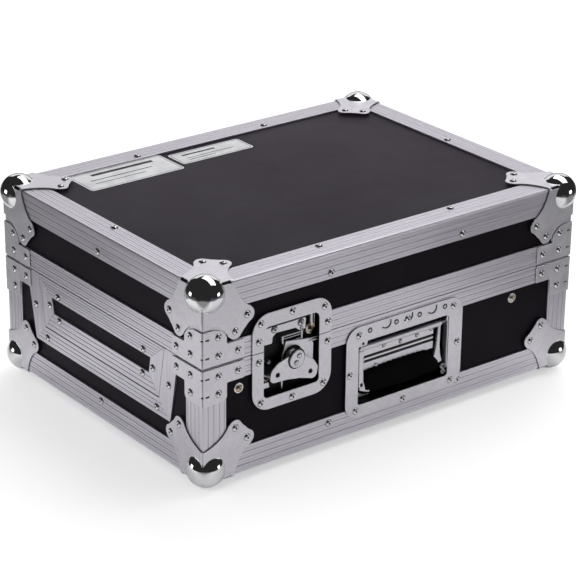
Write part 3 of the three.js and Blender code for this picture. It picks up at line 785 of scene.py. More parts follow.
def bar_frame(section):
    """Mitred frame of four bars round the case; section is (distance in from the faces, height)."""
    rings = []
    for sx, sy in ((1, 1), (-1, 1), (-1, -1), (1, -1)):
        rings.append([(sx * (HALF_X - a), sy * (HALF_Y - a), z) for a, z in section])
    paint = [bar for bar in (0, 1, 0, 1) for _ in section]
    return Build().add(loft(rings, closed=True), paint, Matrix.Scale(MM, 4))


def latch_pockets():
    """Cutters that make room for the latches' dishes in the parting extrusions."""
    tool = Build()
    clear = DISH_WALL + 2 * GAP
    for _, side in SIDES:
        pocket = block(-3, 30, LATCH_MOUTH[0] - clear, LATCH_MOUTH[1] + clear, 70, 165)
        tool.add(pocket, 0, placement(side, -1))
    return tool


def doorway():
    """Cutter for the door surround's way through the base's parting extrusion."""
    low, high = PARTING - RIM_DOWN - 2, PARTING + 2
    return Build(on_front_middle()).add(plate(trapezoid(low, high, SURROUND_STRIP + GAP), -30, 5))


def add_extrusions():
    lid_edge = bar_frame(edge_section(lambda c: TOP - c))
    stub = plate(post_section(()), PARTING + RIM_UP + GAP, HEIGHT - EDGE_LEG + 1, 0)
    for _, side, end in corners():
        lid_edge.add(stub, 2, placement(side, end))
    base_edge = bar_frame(edge_section(lambda c: BOTTOM + c))
    tongue = carved(bar_frame(rim_section(1)), latch_pockets())
    groove = carved(carved(bar_frame(rim_section(-1)), latch_pockets()), doorway())
    for body, kind, bars in (("lid", "edge", lid_edge), ("base", "edge", base_edge),
                             ("lid", "tongue", tongue), ("base", "groove", groove)):
        piece(f"{body}_{kind}_bars", body, bars, METALS, f"{body}_{kind}_extrusion")
    post = plate(post_section(POST_GROOVES), EDGE_LEG + GAP, PARTING - RIM_DOWN - GAP, 0)
    for name, side, end in corners():
        build = Build(placement(side, end)).add(post)
        piece("post_" + name, "base", build, [ALUMINIUM_Z], "corner_post_" + name)


# --------------------------------------------------------------------- rivets
class Rivets:
    """Blind rivets gathered for each body into one piece."""

    def __init__(self):
        self.builds = {}

    def put(self, body, place, points, w=PLATE_OUT, scale=1.0):
        build = self.builds.setdefault(body, Build())
        head = [(r * scale, h * scale) for r, h in RIVET_HEAD]
        for u, v in points:
            build.add(lathe(head, RIVET_STEPS), RIVET_PAINT, place @ at(u, v, w))
            # A dark ring round the head: painted shadow.
            build.add(shade_ring(3.6, 4.1, 0.17), 1, place @ at(u, v, w))

    def finish(self):
        for body, build in self.builds.items():
            piece("rivets_" + body, body, build, [RIVET, SHADE_AND_PRINT], sharp=50)


RIVETS = Rivets()


def add_edge_rivets():
    """Rivets along the middle stretches of the top and bottom extrusions."""
    for body, from_top in LEVELS:
        for _, side, end in corners():
            place = placement(side, end, from_top)
            RIVETS.put(body, place @ ON_SIDE, [(EDGE_RIVET_ALONG, EDGE_RIVET_SIDE)], 0)
            RIVETS.put(body, place @ ON_TOP, [(EDGE_RIVET_TOP, EDGE_RIVET_ALONG)], 0)
        for _, end in ENDS:
            place = placement(1, end, from_top)
            RIVETS.put(body, place @ ON_FRONT, [(HALF_X, EDGE_RIVET_END)], 0)
            RIVETS.put(body, place @ ON_TOP, [(HALF_X, EDGE_RIVET_TOP)], 0)


# --------------------------------------------------------------- ball corners
def wing_outline():
    """One of a ball corner's three wings, from the fold lines out to its two lobes."""
    points = [(FOLD, FOLD), (WING_ROOT, FOLD)]
    points += quadratic((WING_ROOT, FOLD), (45, 25), (59.5, 31.5), 8)[1:]
    points += arc((WING_FAR, WING_NEAR), WING_LOBE, -55, 43, 10)
    points += quadratic(points[-1], (WING_NOTCH + 2, WING_NOTCH - 3), (WING_NOTCH, WING_NOTCH), 4)[1:]
    mirrored = [(v, u) for u, v in reversed(points[1:])]
    return points + mirrored[1:]


def ball_dome():
    """The part of the ball outside the box, as a closed shell."""
    profile = [(BALL_RADIUS * math.sin(t), -BALL_RADIUS * math.cos(t))
               for t in (math.pi * i / 20 for i in range(21))]
    ball = Build().add(lathe(profile, 40), 0, Matrix.Translation((BALL_CENTRE,) * 3))
    shell = carved(ball, Build().add(block(-GAP, 40, -GAP, 40, -GAP, 40)))
    return shell.verts, shell.faces


def ball_fillet():
    """Pressed fillet where the ball leaves one wing, as an arc on that face."""
    rise = BALL_CENTRE + PLATE_OUT + BALL_FILLET
    reach = math.sqrt((BALL_RADIUS + BALL_FILLET) ** 2 - rise ** 2)
    top = math.degrees(math.atan2(rise, reach))
    section = arc((reach, PLATE_OUT + BALL_FILLET), BALL_FILLET, 180 + top, 270, 5)
    section += [(reach + 0.4, PLATE_OUT - 0.4), (section[0][0] - 0.8, PLATE_OUT - 0.4)]
    spread = math.degrees(math.acos(-(BALL_CENTRE + PLATE_OUT) / (reach + 0.5)))
    spokes = arc((0, 0), 1, 90 - spread, spread, 28)
    return loft([[(BALL_CENTRE + r * x, BALL_CENTRE + r * y, w) for r, w in section] for x, y in spokes])


def fold_strip(start, stop, proud=PLATE_OUT + PRESSING_PROUD):
    """Quarter bend between two wings, along c, with a crease down its middle."""
    crease = (FOLD - (FOLD + proud - CREASE_DEPTH) * math.sqrt(0.5),) * 2
    section = arc((FOLD, FOLD), FOLD + proud, 180, 212, 3) + [crease]
    section += arc((FOLD, FOLD), FOLD + proud, 238, 270, 3)
    section += arc((FOLD, FOLD), FOLD + 0.1, 270, 180, 6)
    return plate(section, start, stop, 0)


# Turns a solid drawn on the top face on to the next face round the corner.
ROUND_CORNER = Matrix(((0, 0, 1, 0), (1, 0, 0, 0), (0, 1, 0, 0), (0, 0, 0, 1)))


def add_ball_corners():
    """Eight ball corners, each a dome with three riveted wings folded into one another."""
    dome = ball_dome()
    wing = sheet(wing_outline())
    fillet = ball_fillet()
    upright_folds = [(fold_strip(6, WING_ROOT), 0)]
    # The third level fold lies lower and is painted dark: painted shade in the gap between the other two.
    level_folds = [(fold_strip(6, 23), 0), (fold_strip(35, WING_ROOT), 0), (fold_strip(22, 36, 0.7), 2)]
    for level, from_top in LEVELS:
        for name, side, end in corners():
            corner = placement(side, end, from_top)
            build = Build(corner).add(dome, 1)
            turn = Matrix.Identity(4)
            for folds in (upright_folds, level_folds, level_folds):
                build.add(wing, 0, turn @ ON_TOP)
                build.add(fillet, 1, turn @ ON_TOP)
                for fold, paint in folds:
                    build.add(fold, paint, turn)
                RIVETS.put(level, corner @ turn @ ON_TOP, ((WING_NEAR, WING_FAR), (WING_FAR, WING_NEAR)))
                turn = turn @ ROUND_CORNER
            piece(f"{level}_ball_{name}", level, build, [ZINC, CHROME, SHADE_AND_PRINT],
                  f"{level}_ball_corner_{name}", sharp=30)


# -------------------------------------------------------------- corner braces
def folded(solid):
    """A sheet drawn flat, with u = 0 on the corner, bent round the box's upright edge."""
    mesh = bpy.data.meshes.new("flat")
    mesh.from_pydata(solid[0], [], solid[1])
    work = bmesh.new()
    work.from_mesh(mesh)
    for share in (-1, -0.75, -0.5, -CREASE_HALF, 0, CREASE_HALF, 0.5, 0.75, 1):
        line = Vector((BEND_HALF * share, 0, 0))
        parts = work.verts[:] + work.edges[:] + work.faces[:]
        bmesh.ops.bisect_plane(work, geom=parts, plane_co=line, plane_no=(1, 0, 0))
    for vert in work.verts:
        s, c, w = vert.co
        if abs(s) <= BEND_HALF + 1e-6:
            angle = math.pi / 4 * (1 - s / BEND_HALF)
            crease = max(0.0, 1 - abs(s) / (CREASE_HALF * BEND_HALF))
            reach = FOLD + w - CREASE_DEPTH * crease * (w > 1)
            vert.co = (FOLD - reach * math.cos(angle), FOLD - reach * math.sin(angle), c)
        elif s > 0:
            vert.co = (-w, FOLD + s - BEND_HALF, c)
        else:
            vert.co = (FOLD - s - BEND_HALF, -w, c)
    work.to_mesh(mesh)
    work.free()
    return solid_of(mesh)


def flat_of(b):
    """Place along the flat sheet of a distance from the upright edge."""
    return b - FOLD + BEND_HALF


def brace_outline(lid):
    """A brace laid flat: it covers the corner and runs along the parting line both ways."""
    arm, length = flat_of(BRACE_ARM), flat_of(BRACE_LENGTH)
    if lid:
        low, rim = PARTING + BRACE_GAP, PARTING + RIM_UP - 0.3
        shoulder = [(arm, 161.5), (flat_of(22), 168.5), (flat_of(13), BRACE_TOP)]
        shoulder_radii = [7.0, 5.0, 4.0]
    else:
        low, rim = PARTING - BRACE_GAP, PARTING - RIM_DOWN + 0.2
        shoulder = [(arm, BRACE_BOTTOM)]
        shoulder_radii = [6.0]
    half = [(length, low), (length, rim), (arm, rim)] + shoulder
    radii = [1.0, 1.0, 1.5] + shoulder_radii
    mirror = [(-s, c) for s, c in reversed(half)]
    return rounded(half + mirror, radii + radii[::-1], 5)


def add_braces():
    """Each brace has a slot and a notch at every rivet row, with a dark sheet behind them as painted shade.
    """
    for level, from_top in LEVELS:
        heights = sorted({c for _, c in BRACE_RIVETS[level]})
        slots = [rectangle(flat_of(2.6), flat_of(7.4), c - 0.9, c + 0.8, 0.6, 3) for c in heights]
        slots += [rectangle(-1.6, 0.7, c - 0.6, c + 0.9, 0.4, 3) for c in heights]
        # Dark sheets behind the slots and notches: painted shade.
        shade_sheets = [plate(rectangle(-2.2, flat_of(8), c - 1.3, c + 1.3), 0.05, 0.38, 0) for c in heights]
        for name, side, end in corners():
            place = placement(side, end)
            build = Build(place).add(folded(sheet(brace_outline(from_top), slots)))
            for shade_sheet in shade_sheets:
                build.add(folded(shade_sheet), 1)
            piece(f"{level}_corner_brace_{name}", level, build, [ZINC, SHADE_AND_PRINT],
                  f"{level}_brace_{name}")
            for face in (ON_SIDE, ON_FRONT):
                RIVETS.put(level, place @ face, BRACE_RIVETS[level])


# --------------------------------------------------------------------- V door
def door_half(c):
    """Half the door's width at a height."""
    return DOOR_TOP_HALF - DOOR_SLOPE * (PARTING - c)


def trapezoid(bottom, top, extra):
    """The door's outline between two heights, wider by extra on each side."""
    return [(-door_half(bottom) - extra, bottom), (door_half(bottom) + extra, bottom),
            (door_half(top) + extra, top), (-door_half(top) - extra, top)]


def strip_section(width, low, high, marks=()):
    """Bar section across a strip: shares of its width against height."""
    lip = 0.5
    points = [(0, low), (0, high - lip), (lip, high)]
    points += [(p, high - depth) for p, depth in grooves(0, width, marks)]
    points += [(width - lip, high), (width, high - lip), (width, low)]
    return [(p / width, w) for p, w in points]


def drawn_in(start, stop, distance):
    """A line shortened at both ends."""
    a, b = Vector(start), Vector(stop)
    step = (b - a).normalized() * distance
    return tuple(a + step), tuple(b - step)


def add_door_surround():
    """Fixed frame of three bars round the V door, with channels for the door's tongue and the lid's."""
    top = PARTING - GAP
    place = on_front_middle()
    outer = trapezoid(SURROUND_BOTTOM, top, SURROUND_STRIP)
    inner = trapezoid(DOOR_BOTTOM - GAP, top, GAP)
    side = strip_section(SURROUND_STRIP, -RIM_DEPTH, 0)
    foot = strip_section(SURROUND_FOOT, -RIM_DEPTH, 0, (5.5, 10.5, 15.5))
    build = Build(place)
    for i, j, section, paint in ((0, 1, foot, 0), (1, 2, side, 1), (3, 0, side, 1)):
        build.add(strip((outer[i], outer[j]), (inner[i], inner[j]), section), paint)
    channels = Build(place)
    channels.add(plate(trapezoid(DOOR_BOTTOM - 4.8, top + 9, 4.8), -8.3, -4.7, 0))
    channels.add(plate(rectangle(-150, 150, PARTING - 6.2, PARTING + 5), -9.2, -4.5, 0))
    piece("door_surround_bars", "base", carved(build, channels),
          [ALUMINIUM_X, ALUMINIUM_Z], "door_surround")
    for s in (1, -1):
        RIVETS.put("base", place, ((s * 128.4, 90.8), (s * 106.2, 57.5)), 0)


def add_door():
    """Four bars round the panel, on a core frame whose tongue runs in the surround's channel."""
    top = PARTING - GAP
    place = on_front_middle()
    outer = trapezoid(DOOR_BOTTOM + GAP, top, -GAP)
    inner = trapezoid(DOOR_BOTTOM + DOOR_STRIP, top - 20.5, -DOOR_STRIP)
    build = Build(place)
    for i, j, marks, paint in ((0, 1, (6.0, 11.5, 17.0), 0), (1, 2, (), 1),
                               (2, 3, (3.5, 7, 10.5, 14, 17.5), 0), (3, 0, (), 1)):
        section = strip_section(DOOR_STRIP, -BOARD_FACE + 0.2, 0, marks)
        edges = [drawn_in(line[i], line[j], DOOR_SEAM) for line in (outer, inner)]
        build.add(strip(*edges, section), paint)
    core = trapezoid(DOOR_BOTTOM + GAP, top - 6.4, -GAP)
    build.add(plate(core, -RIM_DEPTH, -WALL, 0, [trapezoid(DOOR_BOTTOM + 3, top - 8.2, -3)]), 1)
    tongue = trapezoid(DOOR_BOTTOM - 4.2, top - 9, 4.2)
    build.add(plate(tongue, -7.8, -5.2, 0.3, [trapezoid(DOOR_BOTTOM + 2, top - 12, -2)]), 1)
    piece("v_door_bars", "v_door", build, [ALUMINIUM_X, ALUMINIUM_Z], "v_door_frame")
    for s in (1, -1):
        RIVETS.put("v_door", place, ((s * 82.3, 114.8), (s * 99.8, 99.5), (s * 80.7, 86.9)), 0)


# ------------------------------------------------------------- twist latches
def half_frame(flange, mouth, radius, mouth_radius, upper):
    """Half of a dish's frame, above or below the parting line."""
    cut = PARTING + (GAP if upper else -GAP)
    b0, b1 = flange[:2]
    m0, m1 = mouth[:2]
    far, near = (flange[3], mouth[3]) if upper else (flange[2], mouth[2])
    outline = [(b0, cut), (b0, far), (b1, far), (b1, cut), (m1, cut), (m1, near), (m0, near), (m0, cut)]
    return rounded(outline, [0.4, radius, radius, 0.4, 0.4, mouth_radius, mouth_radius, 0.4], 8)


def half_dish(place, upper):
    """The lid's or the base's half of a latch's dish: flange, and a wall and back painted dark as shade."""
    radius = LID_MOUTH_RADIUS if upper else BASE_MOUTH_RADIUS
    build = Build(place)
    build.add(sheet(half_frame(LATCH_FLANGE, LATCH_MOUTH, LATCH_FLANGE_RADIUS, radius, upper)))
    wall = half_frame(grown(LATCH_MOUTH, DISH_WALL), LATCH_MOUTH, radius + DISH_WALL, radius, upper)
    # Wall and back painted dark: painted shade inside the dish.
    build.add(plate(wall, -LATCH_DEPTH, DISH_LIP, 0.3), 1)
    m0, m1, n0, n1 = grown(LATCH_MOUTH, 1)
    cut, far = (PARTING + GAP, n1) if upper else (PARTING - GAP, n0)
    back = rounded([(m0, cut), (m1, cut), (m1, far), (m0, far)], [0, 0, radius, radius])
    build.add(plate(back, -LATCH_DEPTH - DISH_WALL, -LATCH_DEPTH, 0), 1)
    return build


def add_keeper(name, side):
    """Upper half of a latch's dish with the keeper plate, on the lid."""
    place = on_side(side)
    build = half_dish(place, True)
    keeper = rounded([(77.2, 135.6), (88.4, 135.2), (89.6, 142.5), (94, 146), (119, 144.8), (123.5, 141.2),
                      (131.6, 140.6), (132.6, 154.0), (77.2, 154.2)], [1, 1, 2, 2, 1.5, 2, 2, 2, 5])
    build.add(plate(keeper, -3.2, -1.3, 0.6))
    head = lathe([(r * 0.95, h) for r, h in RIVET_HEAD], RIVET_STEPS)
    for u, v in ((91.2, 150.6), (125.6, 149.6)):
        build.add(head, RIVET_PAINT, at(u, v, -1.3))
        # A dark ring round the rivet's head: painted shadow.
        build.add(shade_ring(3.6, 4.1, 0.17), 1, at(u, v, -1.25))
    lip = arc((140.6, -3.6), 1.9, 200, -20, 10) + arc((140.6, -3.6), 1.0, -20, 200, 8)
    build.add(loft([[(u, v, w) for u, w in lip] for v in (143.5, 156)]))
    build.add(plate(rectangle(144.4, 145.4, 139, 155.5), -6, -3.4, 0.2))
    add_keeper_spring(build)
    # The keeper's post, painted dark: painted shade.
    build.add(rod(2.1, -7, -2.8, 0.5, 18), 1, at(138.2, 139.8))
    eyelet = [(1.1, 0), (1.1, 0.9), (1.8, 1.2), (2.4, 0.6), (2.5, 0)]
    build.add(lathe(eyelet, 18, closed=True), 0, at(126.8, 142.4, -1.4))
    piece(f"latch_keeper_{name}", "lid", build, [ZINC, SHADE_AND_PRINT, BRASS],
          f"lid_latch_keeper_{name}")
    RIVETS.put("lid", place, ((72.3, 162.6), (154.7, 161.0), (112.6, 166.8), (69.6, 143.1), (159.1, 142.7)))


def add_keeper_spring(build):
    """Three brassy coils round the keeper's post, and the spring's bent tail."""
    for turn, radius, depth in ((0, 4.9, -2.2), (0.4, 4.2, -3.2), (0.9, 3.3, -2.4)):
        start = math.degrees(turn)
        coil = arc(KEEPER_POST, radius, start, start + 345, 23)
        build.add(tube([(u, v, depth - 0.05 * i) for i, (u, v) in enumerate(coil)], 0.85, 8), 2)
    tail = [(141, 136.5, -3), (138.5, 133.8, -2.2), (135.6, 134.4, -3), (134.2, 137, -3.6)]
    build.add(tube(tail, 0.9, 8), 2)


def add_latch_dish(name, side):
    """Lower half of a latch's dish with the plate that carries the spindle, on the base."""
    place = on_side(side)
    m0, m1, n0, _ = LATCH_MOUTH
    build = half_dish(place, False)
    carrier = rounded([(100.5, 92), (143, 90), (143.6, 120.5), (140.9, 127.4), (107.4, 132.2),
                       (103.2, 116.5)], [2, 2, 3, 2, 1.5, 4], 5)
    build.add(plate(carrier, -4.2, -2.6, 0.5, [circle(SPINDLE_BOSS, 12.7, 40)]))
    # A dark disc behind the carrier's hole: painted shade round the spindle.
    build.add(plate(circle(SPINDLE_BOSS, 13.6, 40), -7.9, -6.95, 0), 1)
    build.add(plate(rectangle(103.9, 105.7, n0 + 0.6, 90, 0.4, 3), -8, -5.4, 0.3))
    pin = [(0, 1.6), (1.3, 1.4), (2.1, 0.7), (2.3, -0.5), (2.3, -4), (0, -4)]
    build.add(lathe(pin, 20), 0, at(87.7, 113.2, -5.4))
    tab = rounded([(m0 + 1, 84.6), (88, 84.6), (86.5, 91.4), (m0 + 1, 91.4)], 1, 4)
    build.add(plate(tab, -6.4, -4.2, 0.7))
    wires = (([(79, 102, -6), (82, 99.4, -4), (86, 98.4, -3.4), (88, 95.2, -4.4)], 0.9, 0),
             ([(80, 96, -6), (83, 93.6, -4.4), (85.4, 94.4, -4), (86, 97.5, -5)], 0.9, 2),
             ([(138, 84, -4.4), (142, 86, -3.4), (145.4, 90.5, -3.6)], 1.0, 0),
             ([(138, 127.4, -2.2), (m1, 127.4, -2.2)], 0.7, 0),
             ([(138, 124.6, -2.2), (m1, 124.6, -2.2)], 0.9, 0))
    for path, radius, paint in wires:
        build.add(tube(path, radius, 8), paint)
    piece(f"latch_dish_{name}", "base", build, [ZINC, SHADE_AND_PRINT, BRASS],
          f"base_latch_dish_{name}")
    RIVETS.put("base", place, ((72.3, 73.2), (154.2, 73.7), (113.2, 69.6), (69.6, 120.0), (159.0, 120.6)))


def add_latch_hook(name, side):
    """The plate that the spindle drives up and down; its two rails form the hook."""
    build = Build(on_side(side))
    for bar in (rectangle(106.5, 131, 125.6, 130.4, 1.2, 4), rectangle(129.2, 132.4, 97, 127, 1, 4)):
        build.add(plate(bar, -6.2, -4.8, 0.4))
    for v, radius in ((137.6, 0.85), (134.6, 0.5)):
        build.add(tube([(102.5, v, -4.4), (130.5, v, -4.4)], radius))
    for u in (103.5, 128.4):
        build.add(plate(rectangle(u, u + 1.6, 129.6, 138.2, 0.5, 3), -5.2, -3.7, 0.3))
    piece(f"latch_hook_plate_{name}", f"latch_{name}_hook", build, [ZINC],
          f"latch_hook_{name}")


def add_spindle(name, side):
    """The spindle's cam, neck and hub, turned as one."""
    profile = [(0, -6.9), (7.6, -6.9), (8.0, -6.5), (8.0, -5.2), (7.6, -4.8), (6.3, -4.6), (6.0, -4.2),
               (6.0, -3.2), (5.2, -2.8), (5.2, -1.9), (6.0, -1.5), (6.0, 0.9), (5.6, 1.3), (0, 1.3)]
    build = Build(on_side(side) @ at(LATCH_CENTRE, HUB_HEIGHT)).add(lathe(profile, 32))
    piece(f"latch_cam_{name}", f"latch_{name}_spindle", build, [RIVET],
          f"latch_spindle_{name}")


def twist_outline():
    """Butterfly wing about the spindle: it hangs down and ends in two broad round ears."""
    half = [(7.6, 7.0), (9.6, 3.4), (24.0, -3.4), (31.0, -11.5), (31.0, -25.5), (9.0, -22.6)]
    radii = [2, 3, 9, 7, 9, 9]
    return rounded(half + [(-u, v) for u, v in reversed(half)], radii + radii[::-1], 8)


def add_twist_wing(name, side):
    """The wing with dark discs behind its ear holes, the oval hub pad on a dark rim, both painted shade,
    its two buttons, and the fold pin.
    """
    build = Build(on_side(side) @ at(LATCH_CENTRE, HUB_HEIGHT, 0, -TWIST_TILT))
    ears = [(s * TWIST_HOLE[0], TWIST_HOLE[1]) for s in (1, -1)]
    holes = [circle(ear, 2.7, 20) for ear in ears]
    build.add(plate(twist_outline(), TWIST_BACK, TWIST_FRONT, 0.45, holes, 0.3))
    # Dark discs behind the ear holes: painted shade.
    for ear in ears:
        build.add(plate(circle(ear, 3.4, 20), TWIST_BACK - 0.35, TWIST_BACK - 0.05, 0), 1)
    turn = Matrix.Rotation(TWIST_PAD_TURN, 4, "Z")
    pad = [(u * 0.96, v * 1.03) for u, v in circle((0, 0), 9.7, 36)]
    # A dark rim round the pad: painted shadow.
    build.add(plate(offset(pad, 1.5), TWIST_FRONT - 0.1, TWIST_FRONT + 0.2, 0), 1, turn)
    build.add(plate(pad, TWIST_FRONT + 0.1, TWIST_FRONT + 1.9, 0.8), 0, turn)
    button = lathe([(0, 1.1), (1.5, 1.0), (2.2, 0.6), (2.5, 0), (2.5, -0.2), (0, -0.2)], 20)
    for v in (4.2, -4.0):
        build.add(button, 0, turn @ at(0.3, v, TWIST_FRONT + 1.9))
        # A dark ring round each button: painted shadow.
        build.add(shade_ring(2.5, 3.1, 0.02), 1, turn @ at(0.3, v, TWIST_FRONT + 1.95))
    pin = at(0, 6.0, 1.9) @ Matrix.Rotation(math.pi / 2, 4, "Y")
    build.add(rod(1.1, -9.5, 9.5, 0.3, 14), 0, pin)
    piece(f"latch_wing_plate_{name}", f"latch_{name}_wing", build, [ZINC, SHADE_AND_PRINT],
          f"latch_wing_{name}")


# --------------------------------------------------------------------- handle
def add_handle_dish():
    """Recessed dish with the bail's pin, cheek plates and the two wire loops in its corner."""
    place = on_side(1)
    m0, m1 = HANDLE_MOUTH[:2]
    build = Build(place)
    mouth = rectangle(*HANDLE_MOUTH, 4)
    wall = rectangle(*grown(HANDLE_MOUTH, DISH_WALL), 5.2)
    build.add(sheet(rectangle(*HANDLE_FLANGE, 17, 10), [mouth]))
    # Wall and back painted dark: painted shade inside the dish.
    build.add(plate(wall, -HANDLE_DEPTH, DISH_LIP, 0.3, [mouth]), 1)
    build.add(plate(wall, -HANDLE_DEPTH - DISH_WALL, -HANDLE_DEPTH, 0), 1)
    depth, height = HANDLE_AXIS
    axis = Matrix.Translation((0, height, -depth)) @ Matrix.Rotation(math.pi / 2, 4, "Y")
    build.add(rod(1.5, m0 - 0.6, m1 + 0.6, 0.2, 16), 0, axis)
    build.add(plate(rectangle(m1 - 1.4, m1 - 0.05, 42, 99, 0.4, 3), -6.5, 0.6, 0.3))
    build.add(plate(rectangle(m0 + 0.05, m0 + 1.2, 34, 92, 0.4, 3), -3.5, 0.6, 0.3))
    add_dish_tabs(build)
    for u, v, radius in ((325.2, 43.0, 2.6), (325.8, 36.4, 2.3)):
        for w in (-2.0, -3.6):
            loop = [(x, y, w) for x, y in circle((u, v), radius, 18)]
            build.add(tube(loop, 0.7, 8, closed=True))
    add_pressed_marks(build)
    piece("handle_dish_pressing", "base", build, [ZINC, SHADE_AND_PRINT], "handle_dish")
    RIVETS.put("base", place, ((201.7, 114.6), (334.0, 114.6), (199.1, 26.8), (333.1, 25.7), (265.2, 22.3),
                               (190.3, 70.9), (341.0, 70.1), (268.8, 116.4)))


def add_dish_tabs(build):
    """Tabs that hold the pin at the mouth's top corners, and a gusset in its lower corner."""
    m0, m1 = HANDLE_MOUTH[:2]
    left = [(m0 + 0.4, 96.4), (m0 + 3.9, 96.4), (m0 + 3.9, 100), (m0 + 12.6, 100),
            (m0 + 13.6, 105.4), (m0 + 0.4, 105.4)]
    build.add(plate(rounded(left, [1, 1, 0.4, 2, 1, 3], 5), -1.2, 0.4, 0.4))
    right = [(m1 - 3.4, 98.5), (m1 - 0.4, 98.5), (m1 - 0.4, 105.4), (m1 - 2.4, 105.4)]
    build.add(plate(rounded(right, 0.8, 3), -1.2, 0.8, 0.4))
    # Two dark dots on the tab: painted shade.
    for spot in ((m0 + 7.2, 102.9), (m0 + 2.4, 98.6)):
        build.add(plate(circle(spot, 1.7, 18), 0.2, 0.5, 0), 1)
    gusset = rounded([(209, 43.5), (213, 43.5), (228, 34.2), (228, 33.4), (209, 33.4)], [1, 2, 1, 1, 1], 4)
    build.add(plate(gusset, -13.2, -11.6, 0.5))


def add_pressed_marks(build):
    """A row of small dimples and crescents pressed along the dish's upper flange; the dimples' rims and the
    crescents' grooves are painted dark as shade.
    """
    rim = [(1.9, 0.0), (2.1, 0.5), (3.0, 0.5), (3.2, 0.0), (3.2, -0.2), (1.9, -0.2)]
    dimple = [(0, 0.75), (1.2, 0.65), (1.9, 0.2), (1.9, -0.2), (0, -0.2)]
    for u in (216.5, 252.9, 285.4, 321.6):
        build.add(lathe(rim, 20, closed=True), 1, at(u, 117, PLATE_OUT))
        build.add(lathe(dimple, 20), 0, at(u, 117, PLATE_OUT))
    for u in (238.8, 269.0, 303.0):
        groove = [(x, y, PLATE_OUT + 0.15) for x, y in arc((u, 120), 6.2, 220, 380, 16)]
        ridge = [(x, y, PLATE_OUT + 0.2) for x, y in arc((u, 120), 7.2, 225, 375, 16)]
        build.add(tube(groove, 0.7, 6), 1)
        build.add(tube(ridge, 0.5, 6))


def along_u(start, stop, section):
    """Solid of one (v, w) section from one u to another."""
    return loft([[(u, v, w) for v, w in section] for u in (start, stop)])


def bail_section():
    """The bail's plate, thin, with two channels pressed into its face."""
    face, back = -6.5, -8.3
    section = [(96, back), (67, back), (67, face)]
    for groove in BAIL_GROOVES:
        section += [(groove - 1.7, face), (groove - 1.3, -8.0), (groove + 1.3, -8.0), (groove + 1.7, face)]
    return section + [(92, face), (95, -4.4)]


def add_handle_bail():
    """Folded steel bail: rolled over the pin, grooved, with an arm down each end of the grip."""
    depth, height = HANDLE_AXIS
    build = Build(on_side(1))
    roll = arc((height, -depth), 4.0, -75, 180, 16) + arc((height, -depth), 2.2, 180, -75, 14)
    build.add(along_u(BAIL_START, HANDLE_MOUTH[1] - 8, roll))
    build.add(along_u(212, BAIL_STOP, bail_section()))
    # Dark sheets in the two channels: painted shade.
    for groove in BAIL_GROOVES:
        shade_sheet = rectangle(217.5, BAIL_STOP - 0.2, groove - 1.1, groove + 1.1)
        build.add(plate(shade_sheet, -8.1, -7.6, 0), 1)
    flap = rounded([(215, 94), (312, 94), (312, 89.6), (300, 87.4), (265, 85.2), (230, 88.2), (215, 90.4)],
                   [0.3, 0.3, 2, 12, 20, 12, 2], 6)
    build.add(plate(flap, -6.9, -5.4, 0.5))
    button = lathe([(0, 1.2), (0.9, 1.1), (1.7, 0.6), (1.9, 0), (1.9, -0.6), (0, -0.6)], 18)
    for u, v in ((242.1, 89.9), (265.4, 88.4), (288.6, 89.2), (309.0, 91.2)):
        build.add(button, 0, at(u, v, -5.4))
        # A dark ring round each button: painted shadow.
        build.add(shade_ring(1.8, 2.6, 0.1, 18), 1, at(u, v, -5.4))
    add_bail_arms(build)
    stud = [(0, 1.6), (1.3, 1.5), (2.3, 0.8), (2.5, 0), (2.5, -0.6), (0, -0.6)]
    build.add(lathe(stud, 18), 0, at(232.6, 69.4, -6.5))
    piece("handle_bail_plate", "handle", build, [ZINC, SHADE_AND_PRINT], "handle_bail")


def add_bail_arms(build):
    """The straight near arm with its curled foot, and the tapered far arm."""
    strap = rounded([(205.8, 50), (212.6, 50), (212.0, 93), (205.8, 93)], [2, 2, 1, 1], 4)
    build.add(plate(strap, -8.3, -2.0, 1.1))
    foot = rounded([(207, 47), (214, 44), (221, 41.6), (221.4, 44), (214.4, 50.5), (212.6, 56), (207, 56)],
                   [1, 2, 1, 1, 4, 1, 1], 4)
    build.add(plate(foot, -5, -2.0, 0.7))
    taper = rounded([(318.2, 93), (321.6, 93), (320.9, 70), (322.2, 58), (325.0, 49), (316, 46.8),
                     (307.4, 55.4), (313.2, 60), (315.9, 71)], [1, 1, 8, 8, 1.5, 3, 1.5, 4, 8], 5)
    build.add(plate(taper, -6.5, -3.2, 1.2))


def superellipse(centre, size, steps):
    """Box-like oval about a centre, with half sizes."""
    power = 0.52
    points = []
    for angle in (2 * math.pi * k / steps for k in range(steps)):
        cos, sin = math.cos(angle), math.sin(angle)
        points.append((centre[0] + size[0] * math.copysign(abs(cos) ** power, cos),
                       centre[1] + size[1] * math.copysign(abs(sin) ** power, sin)))
    return points


